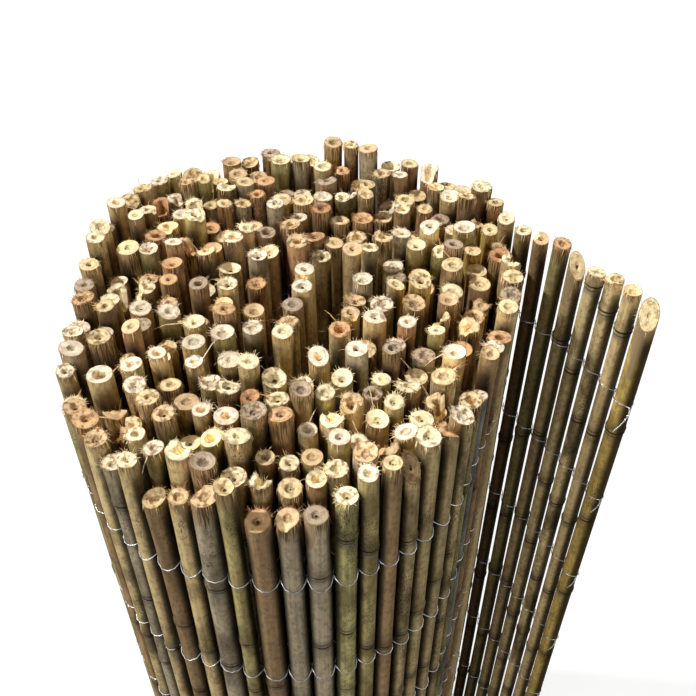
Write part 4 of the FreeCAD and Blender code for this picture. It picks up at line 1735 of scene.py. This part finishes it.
@dataclass(frozen=True)
class LooseFibre:
    """Dry fibres: the colour of the end, warmer and streaked."""

    dry: Colour = picked(206, 158, 104)
    grain: Range = (900.0, 200.0)
    roughness: float = 0.75

    def build(self, effects: Effects) -> bpy.types.Material:
        """Makes the material.

        Args:
            effects: the shared node groups.

        Returns:
            The material.
        """
        material, shader, surface = plain_material("loose_fibre")
        streak = shader.use(effects.grain, Place=shader.place(), Across=self.grain[0], Along=self.grain[1])
        share = shader.times(shader.plus(streak, shader.mark("fray")), 0.5)
        warmed = shader.mix(share, shader.mark("end_tint", coloured=True), self.dry)
        shader.feed(surface.inputs["Base Color"], warmed)
        surface.inputs["Roughness"].default_value = self.roughness
        return material


@dataclass(frozen=True)
class GalvanisedWire:
    """Zinc coat: bright, with dull cloudy patches."""

    bright: Colour = picked(240, 242, 244)
    dull: Colour = picked(186, 188, 190)
    metallic: float = 0.85
    cloud_scale: float = 260.0
    worn_scale: float = 900.0

    def build(self, effects: Effects) -> bpy.types.Material:
        """Makes the material.

        Args:
            effects: the shared node groups.

        Returns:
            The material.
        """
        material, shader, surface = plain_material("galvanised_wire")
        toned = shader.use(effects.stain, Place=shader.place(), Scale=self.cloud_scale, Colour=self.bright,
                           Stain=self.dull, Amount=0.9)
        shader.feed(surface.inputs["Base Color"], toned)
        surface.inputs["Metallic"].default_value = self.metallic
        worn = shader.step(shader.noise(shader.place(), self.worn_scale), 0.3, 0.7, 0.24, 0.42)
        shader.feed(surface.inputs["Roughness"], worn)
        return material


def by_share(shares: Dict[Enum, int], draw: np.random.Generator) -> Enum:
    """Draws one option, each as likely as its share says."""
    parts = np.array(list(shares.values()))
    return list(shares)[draw.choice(len(parts), p=parts / parts.sum())]


@dataclass
class CanePanel:
    """All canes of the panel, one piece for each node of the frame.

    The listed looks follow the numbers of the front canes and of the free ones. A peel
    is where the bark is off: the angle that it faces and how far down it goes.
    """

    order: Sequence[Stem]
    finishes: Sequence[bpy.types.Material]
    studio: "Studio"
    outer_turn: int = 64
    reach: float = 24.0
    shown_segments: int = 36
    outer_segments: int = 28
    inner_segments: int = 22
    pith: Range = (0.28, 0.46)
    hollow_pith: Range = (0.36, 0.48)
    slanted_pith: float = 0.45
    fray: float = 0.45
    fray_spread: float = 0.35
    clean_fray: float = 0.3
    clean_ends: Tuple[End, ...] = (End.CREAM, End.IVORY, End.DULL)
    # Share of canes with a hole in the pith, shown as a dark disc of painted shade, and its size as a share
    # of the radius
    holed_share: float = 0.45
    hole: Range = (0.06, 0.2)
    no_hole: float = -0.3
    wear: Range = (0.1, 1.0)
    brightness: Range = (0.76, 1.18)
    front_looks: Tuple[Look, ...] = (
        (Skin.GREY, End.IVORY, Cut.SCOOPED),
        (Skin.KHAKI, End.CREAM, Cut.SAWN),
        (Skin.BROWN, End.WHEAT, Cut.SCOOPED),
        (Skin.KHAKI, End.TAN, Cut.SAWN),
        (Skin.GREY, End.TAN, Cut.CHIPPED),
        (Skin.OLIVE, End.WHEAT, Cut.SCOOPED),
        (Skin.BROWN, End.APRICOT, Cut.SAWN),
        (Skin.GREY, End.TAN, Cut.CHIPPED),
        (Skin.GREY, End.ASH, Cut.SAWN),
        (Skin.GREEN, End.CREAM, Cut.SAWN),
        (Skin.OLIVE, End.IVORY, Cut.SAWN),
        (Skin.BROWN, End.WHEAT, Cut.SAWN),
        (Skin.KHAKI, End.DULL, Cut.SLANTED),
        (Skin.KHAKI, End.CREAM, Cut.SAWN),
    )
    free_looks: Tuple[Look, ...] = (
        (Skin.KHAKI, End.CREAM, Cut.SAWN),
        (Skin.BROWN, End.TAN, Cut.CHIPPED),
        (Skin.OLIVE, End.APRICOT, Cut.SAWN),
        (Skin.KHAKI, End.WHEAT, Cut.SLANTED),
        (Skin.STRAW, End.CREAM, Cut.SAWN),
        (Skin.STRAW, End.WHEAT, Cut.SAWN),
        (Skin.KHAKI, End.WHEAT, Cut.SCOOPED),
        (Skin.YELLOW, End.WHEAT, Cut.SLANTED),
    )
    peels: Dict[str, Range] = field(default_factory=lambda: {
        "front_cane_09": (-2.3, 34 * MM), "free_cane_4": (-2.6, 46 * MM), "front_cane_04": (-0.7, 30 * MM),
        "free_cane_8": (-2.2, 80 * MM), "front_cane_12": (-2.6, 24 * MM)})

    def seen_looks(self) -> Dict[int, Look]:
        """Gives each end that the photo shows well to the nearest cane that has none yet.

        Returns:
            Skin, end and cut by the cane's number in the row.
        """
        waiting = [number for number, stem in enumerate(self.order) if not stem.shown]
        stems = [self.order[number] for number in waiting]
        pixels = np.array([self.studio.pixel(stem.x, stem.y, stem.top) for stem in stems])
        chosen: Dict[int, Look] = {}
        for look, places in SEEN_ENDS.items():
            for place in places:
                apart = np.hypot(*(pixels - place).T)
                nearest = int(apart.argmin())
                if apart[nearest] < self.reach:
                    chosen[waiting[nearest]] = look
                    pixels[nearest] = np.inf
        return chosen

    def look(self, stem: Stem, draw: np.random.Generator, seen: Optional[Look]) -> CaneLook:
        """Picks what a cane looks like: as listed where it shows well, by chance elsewhere.

        Args:
            stem: the cane.
            draw: the cane's own chance.
            seen: the look of an end that the photo shows well, if the cane has one.

        Returns:
            The look.
        """
        drawn = tuple(by_share(shares, draw) for shares in (SKIN_SHARES, END_SHARES, CUT_SHARES))
        skin, end, cut = seen or drawn
        if stem.shown:
            looks = self.free_looks if stem.free else self.front_looks
            skin, end, cut = looks[int(stem.node.split("_")[-1]) - 1]
        pith = draw.uniform(*(self.hollow_pith if cut == Cut.HOLLOW else self.pith))
        if cut == Cut.SLANTED:
            pith *= self.slanted_pith
        fray = float(np.clip(draw.normal(self.fray, self.fray_spread), 0, 1))
        if end in self.clean_ends:
            fray *= self.clean_fray
        holed = draw.uniform() < self.holed_share
        hole = float(draw.uniform(*self.hole)) if holed else self.no_hole
        wear, burr = float(draw.uniform(*self.wear)), float(draw.uniform(0, 1))
        facing, length = self.peels.get(stem.node, (None, 0.0))
        return CaneLook(skin, end, cut, pith, wear, fray, burr, hole, float(draw.uniform(*self.brightness)),
                        facing, length)

    def segments(self, stem: Stem, detailed: bool) -> int:
        """How many points go round a cane."""
        if stem.shown:
            return self.shown_segments
        return self.outer_segments if detailed else self.inner_segments

    def build(self) -> List[bpy.types.Object]:
        """Makes one piece for each cane node and puts it in the node's place.

        Returns:
            The pieces, in the order of the nodes' names.
        """
        seen = self.seen_looks()
        LOG.info("%d ends follow the photo", len(seen))
        pieces = []
        for node in sorted({stem.node for stem in self.order}):
            mesh = PieceMesh()
            for number, stem in enumerate(self.order):
                if stem.node != node:
                    continue
                draw = np.random.default_rng(SEED * 1000 + number)
                detailed = number >= len(self.order) - self.outer_turn
                look = self.look(stem, draw, seen.get(number))
                CaneShape(stem, look, draw, self.segments(stem, detailed), detailed).build(mesh)
            piece = mesh.finish("bamboo_" + node, self.finishes)
            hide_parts(node)
            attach(piece, "root")
            LOG.info("%s: %d faces", piece.name, len(piece.data.polygons))
            pieces.append(piece)
        return pieces


@dataclass
class Studio:
    """Pale floor, soft lamps and the camera. Angles are in degrees, lens sizes in millimetres."""

    focal: float = 48.6
    sensor: float = 36.0
    pitch: float = 44.9
    camera_place: Place = (-0.0105, -0.4958, 1.3267)
    key_towards: Place = (0.64, -0.05, -0.77)
    key_strength: float = 1.46
    key_width: float = 2.0
    left_box: Place = (-1.35, -1.95, 1.5)
    left_power: float = 20.0
    right_box: Place = (2.3, -0.5, 1.3)
    right_power: float = 9.0
    back_box: Place = (-0.2, 2.4, 1.3)
    back_power: float = 20.0
    box_size: float = 1.4
    box_aim: Place = (0.0, 0.0, 0.6)
    lamp_colour: Place = (1.0, 0.98, 0.95)
    sky: float = 0.028
    mirrored_sky: float = 0.5
    floor_half: float = 14.0
    floor_roughness: float = 0.9
    floor_bounce: float = 0.05
    floor_shade: float = 0.36
    floor_glow: float = 0.83
    frame_size: int = 696

    def build(self) -> None:
        """Puts up the floor, lamps, world and camera."""
        self.floor()
        self.key()
        self.soft_box("left_box", self.left_box, self.left_power)
        self.soft_box("right_box", self.right_box, self.right_power)
        self.soft_box("back_box", self.back_box, self.back_power)
        self.world()
        self.camera()
        bpy.context.scene.view_settings.view_transform = "Standard"

    def pixel(self, x: float, y: float, z: float) -> Tuple[float, float]:
        """Where a place lies in the picture: perspective division after a turn by the pitch.

        Args:
            x: place to the right.
            y: place to the back.
            z: place upwards.

        Returns:
            Pixels across and down.
        """
        ahead, up = y - self.camera_place[1], z - self.camera_place[2]
        cosine, sine = math.cos(math.radians(self.pitch)), math.sin(math.radians(self.pitch))
        scale = self.frame_size * self.focal / self.sensor / (ahead * cosine - up * sine)
        across = self.frame_size / 2 + scale * (x - self.camera_place[0])
        return (across, self.frame_size / 2 - scale * (ahead * sine + up * cosine))

    def floor(self) -> None:
        """Wide plain floor that the camera sees as white, with the shadow left on it."""
        mesh = bpy.data.meshes.new("studio_floor")
        half = self.floor_half
        corners = [(-half, -half, 0), (half, -half, 0), (half, half, 0), (-half, half, 0)]
        mesh.from_pydata(corners, [], [(0, 1, 2, 3)])
        floor = bpy.data.objects.new("studio_floor", mesh)
        bpy.context.scene.collection.objects.link(floor)
        material, shader, surface = plain_material("pale_floor")
        seen = shader.node("ShaderNodeLightPath").outputs["Is Camera Ray"]
        shade = shader.step(seen, 0.0, 1.0, self.floor_bounce, self.floor_shade)
        shader.feed(surface.inputs["Base Color"], shade)
        surface.inputs["Roughness"].default_value = self.floor_roughness
        glow = shader.node("ShaderNodeEmission")
        shader.feed(glow.inputs["Strength"], shader.times(seen, self.floor_glow))
        both = shader.node("ShaderNodeAddShader")
        shader.feed(both.inputs[0], surface.outputs[0])
        shader.feed(both.inputs[1], glow.outputs[0])
        shader.feed(material.node_tree.nodes["Material Output"].inputs["Surface"], both.outputs[0])
        mesh.materials.append(material)

    def key(self) -> None:
        """One lamp as far as the sun, from the back left."""
        lamp = bpy.data.lights.new("key", "SUN")
        lamp.energy = self.key_strength
        lamp.angle = math.radians(self.key_width)
        lamp.color = self.lamp_colour
        holder = bpy.data.objects.new("key", lamp)
        towards = np.array(self.key_towards) / np.linalg.norm(self.key_towards)
        holder.rotation_euler = (math.acos(-towards[2]), 0.0, math.atan2(-towards[0], towards[1]))
        bpy.context.scene.collection.objects.link(holder)

    def soft_box(self, name: str, place: Place, power: float) -> None:
        """Puts up one wide soft box that looks at the middle of the roll.

        Args:
            name: the lamp's name.
            place: where it stands.
            power: its strength in watts.
        """
        lamp = bpy.data.lights.new(name, "AREA")
        lamp.energy = power
        lamp.size = self.box_size
        lamp.color = self.lamp_colour
        holder = bpy.data.objects.new(name, lamp)
        holder.location = place
        towards = mathutils.Vector(self.box_aim) - holder.location
        holder.rotation_euler = towards.to_track_quat("-Z", "Y").to_euler()
        bpy.context.scene.collection.objects.link(holder)

    def world(self) -> None:
        """Even sky that the camera sees as white."""
        world = bpy.data.worlds.new("studio")
        world.use_nodes = True
        shader = Shader(world.node_tree)
        path = shader.node("ShaderNodeLightPath")
        seen = shader.step(path.outputs["Is Camera Ray"], 0.0, 1.0, self.sky, 1.0)
        mirrored = shader.times(path.outputs["Is Glossy Ray"], self.mirrored_sky)
        sky = world.node_tree.nodes["Background"]
        sky.inputs["Color"].default_value = (1.0, 1.0, 1.0, 1.0)
        shader.feed(sky.inputs["Strength"], shader.maths("MAXIMUM", seen, mirrored))
        bpy.context.scene.world = world

    def camera(self) -> None:
        """Camera above and in front of the roll, looking along +Y and down."""
        data = bpy.data.cameras.new("camera")
        data.lens = self.focal
        data.sensor_width = self.sensor
        camera = bpy.data.objects.new("camera", data)
        camera.location = self.camera_place
        camera.rotation_euler = (math.radians(90 - self.pitch), 0, 0)
        bpy.context.scene.collection.objects.link(camera)
        bpy.context.scene.camera = camera


def main() -> None:
    """Builds the panel and its studio, and reports each piece."""
    logging.basicConfig(level=logging.INFO, format="%(message)s")
    reader = FrameReader(frame["nodes"])
    order = in_row_order(reader.stems())
    steps = np.hypot(*np.diff(np.array([(stem.x, stem.y) for stem in order]), axis=0).T)
    LOG.info("%d canes, steps from %.1f to %.1f mm", len(order), steps.min() / MM, steps.max() / MM)
    effects = Effects()
    finishes = [BambooSkin().build(effects), CutEnd().build(effects), LooseFibre().build(effects)]
    wire = GalvanisedWire().build(effects)
    studio = Studio()
    CanePanel(order, finishes, studio).build()
    for row in reader.wire_rows():
        draw = np.random.default_rng(SEED * 100 + row)
        for piece in WireRow(order, row, reader.row_height(row), draw).build(wire):
            LOG.info("%s: %d faces", piece.name, len(piece.data.polygons))
    studio.build()


if __name__ == "__main__":
    main()
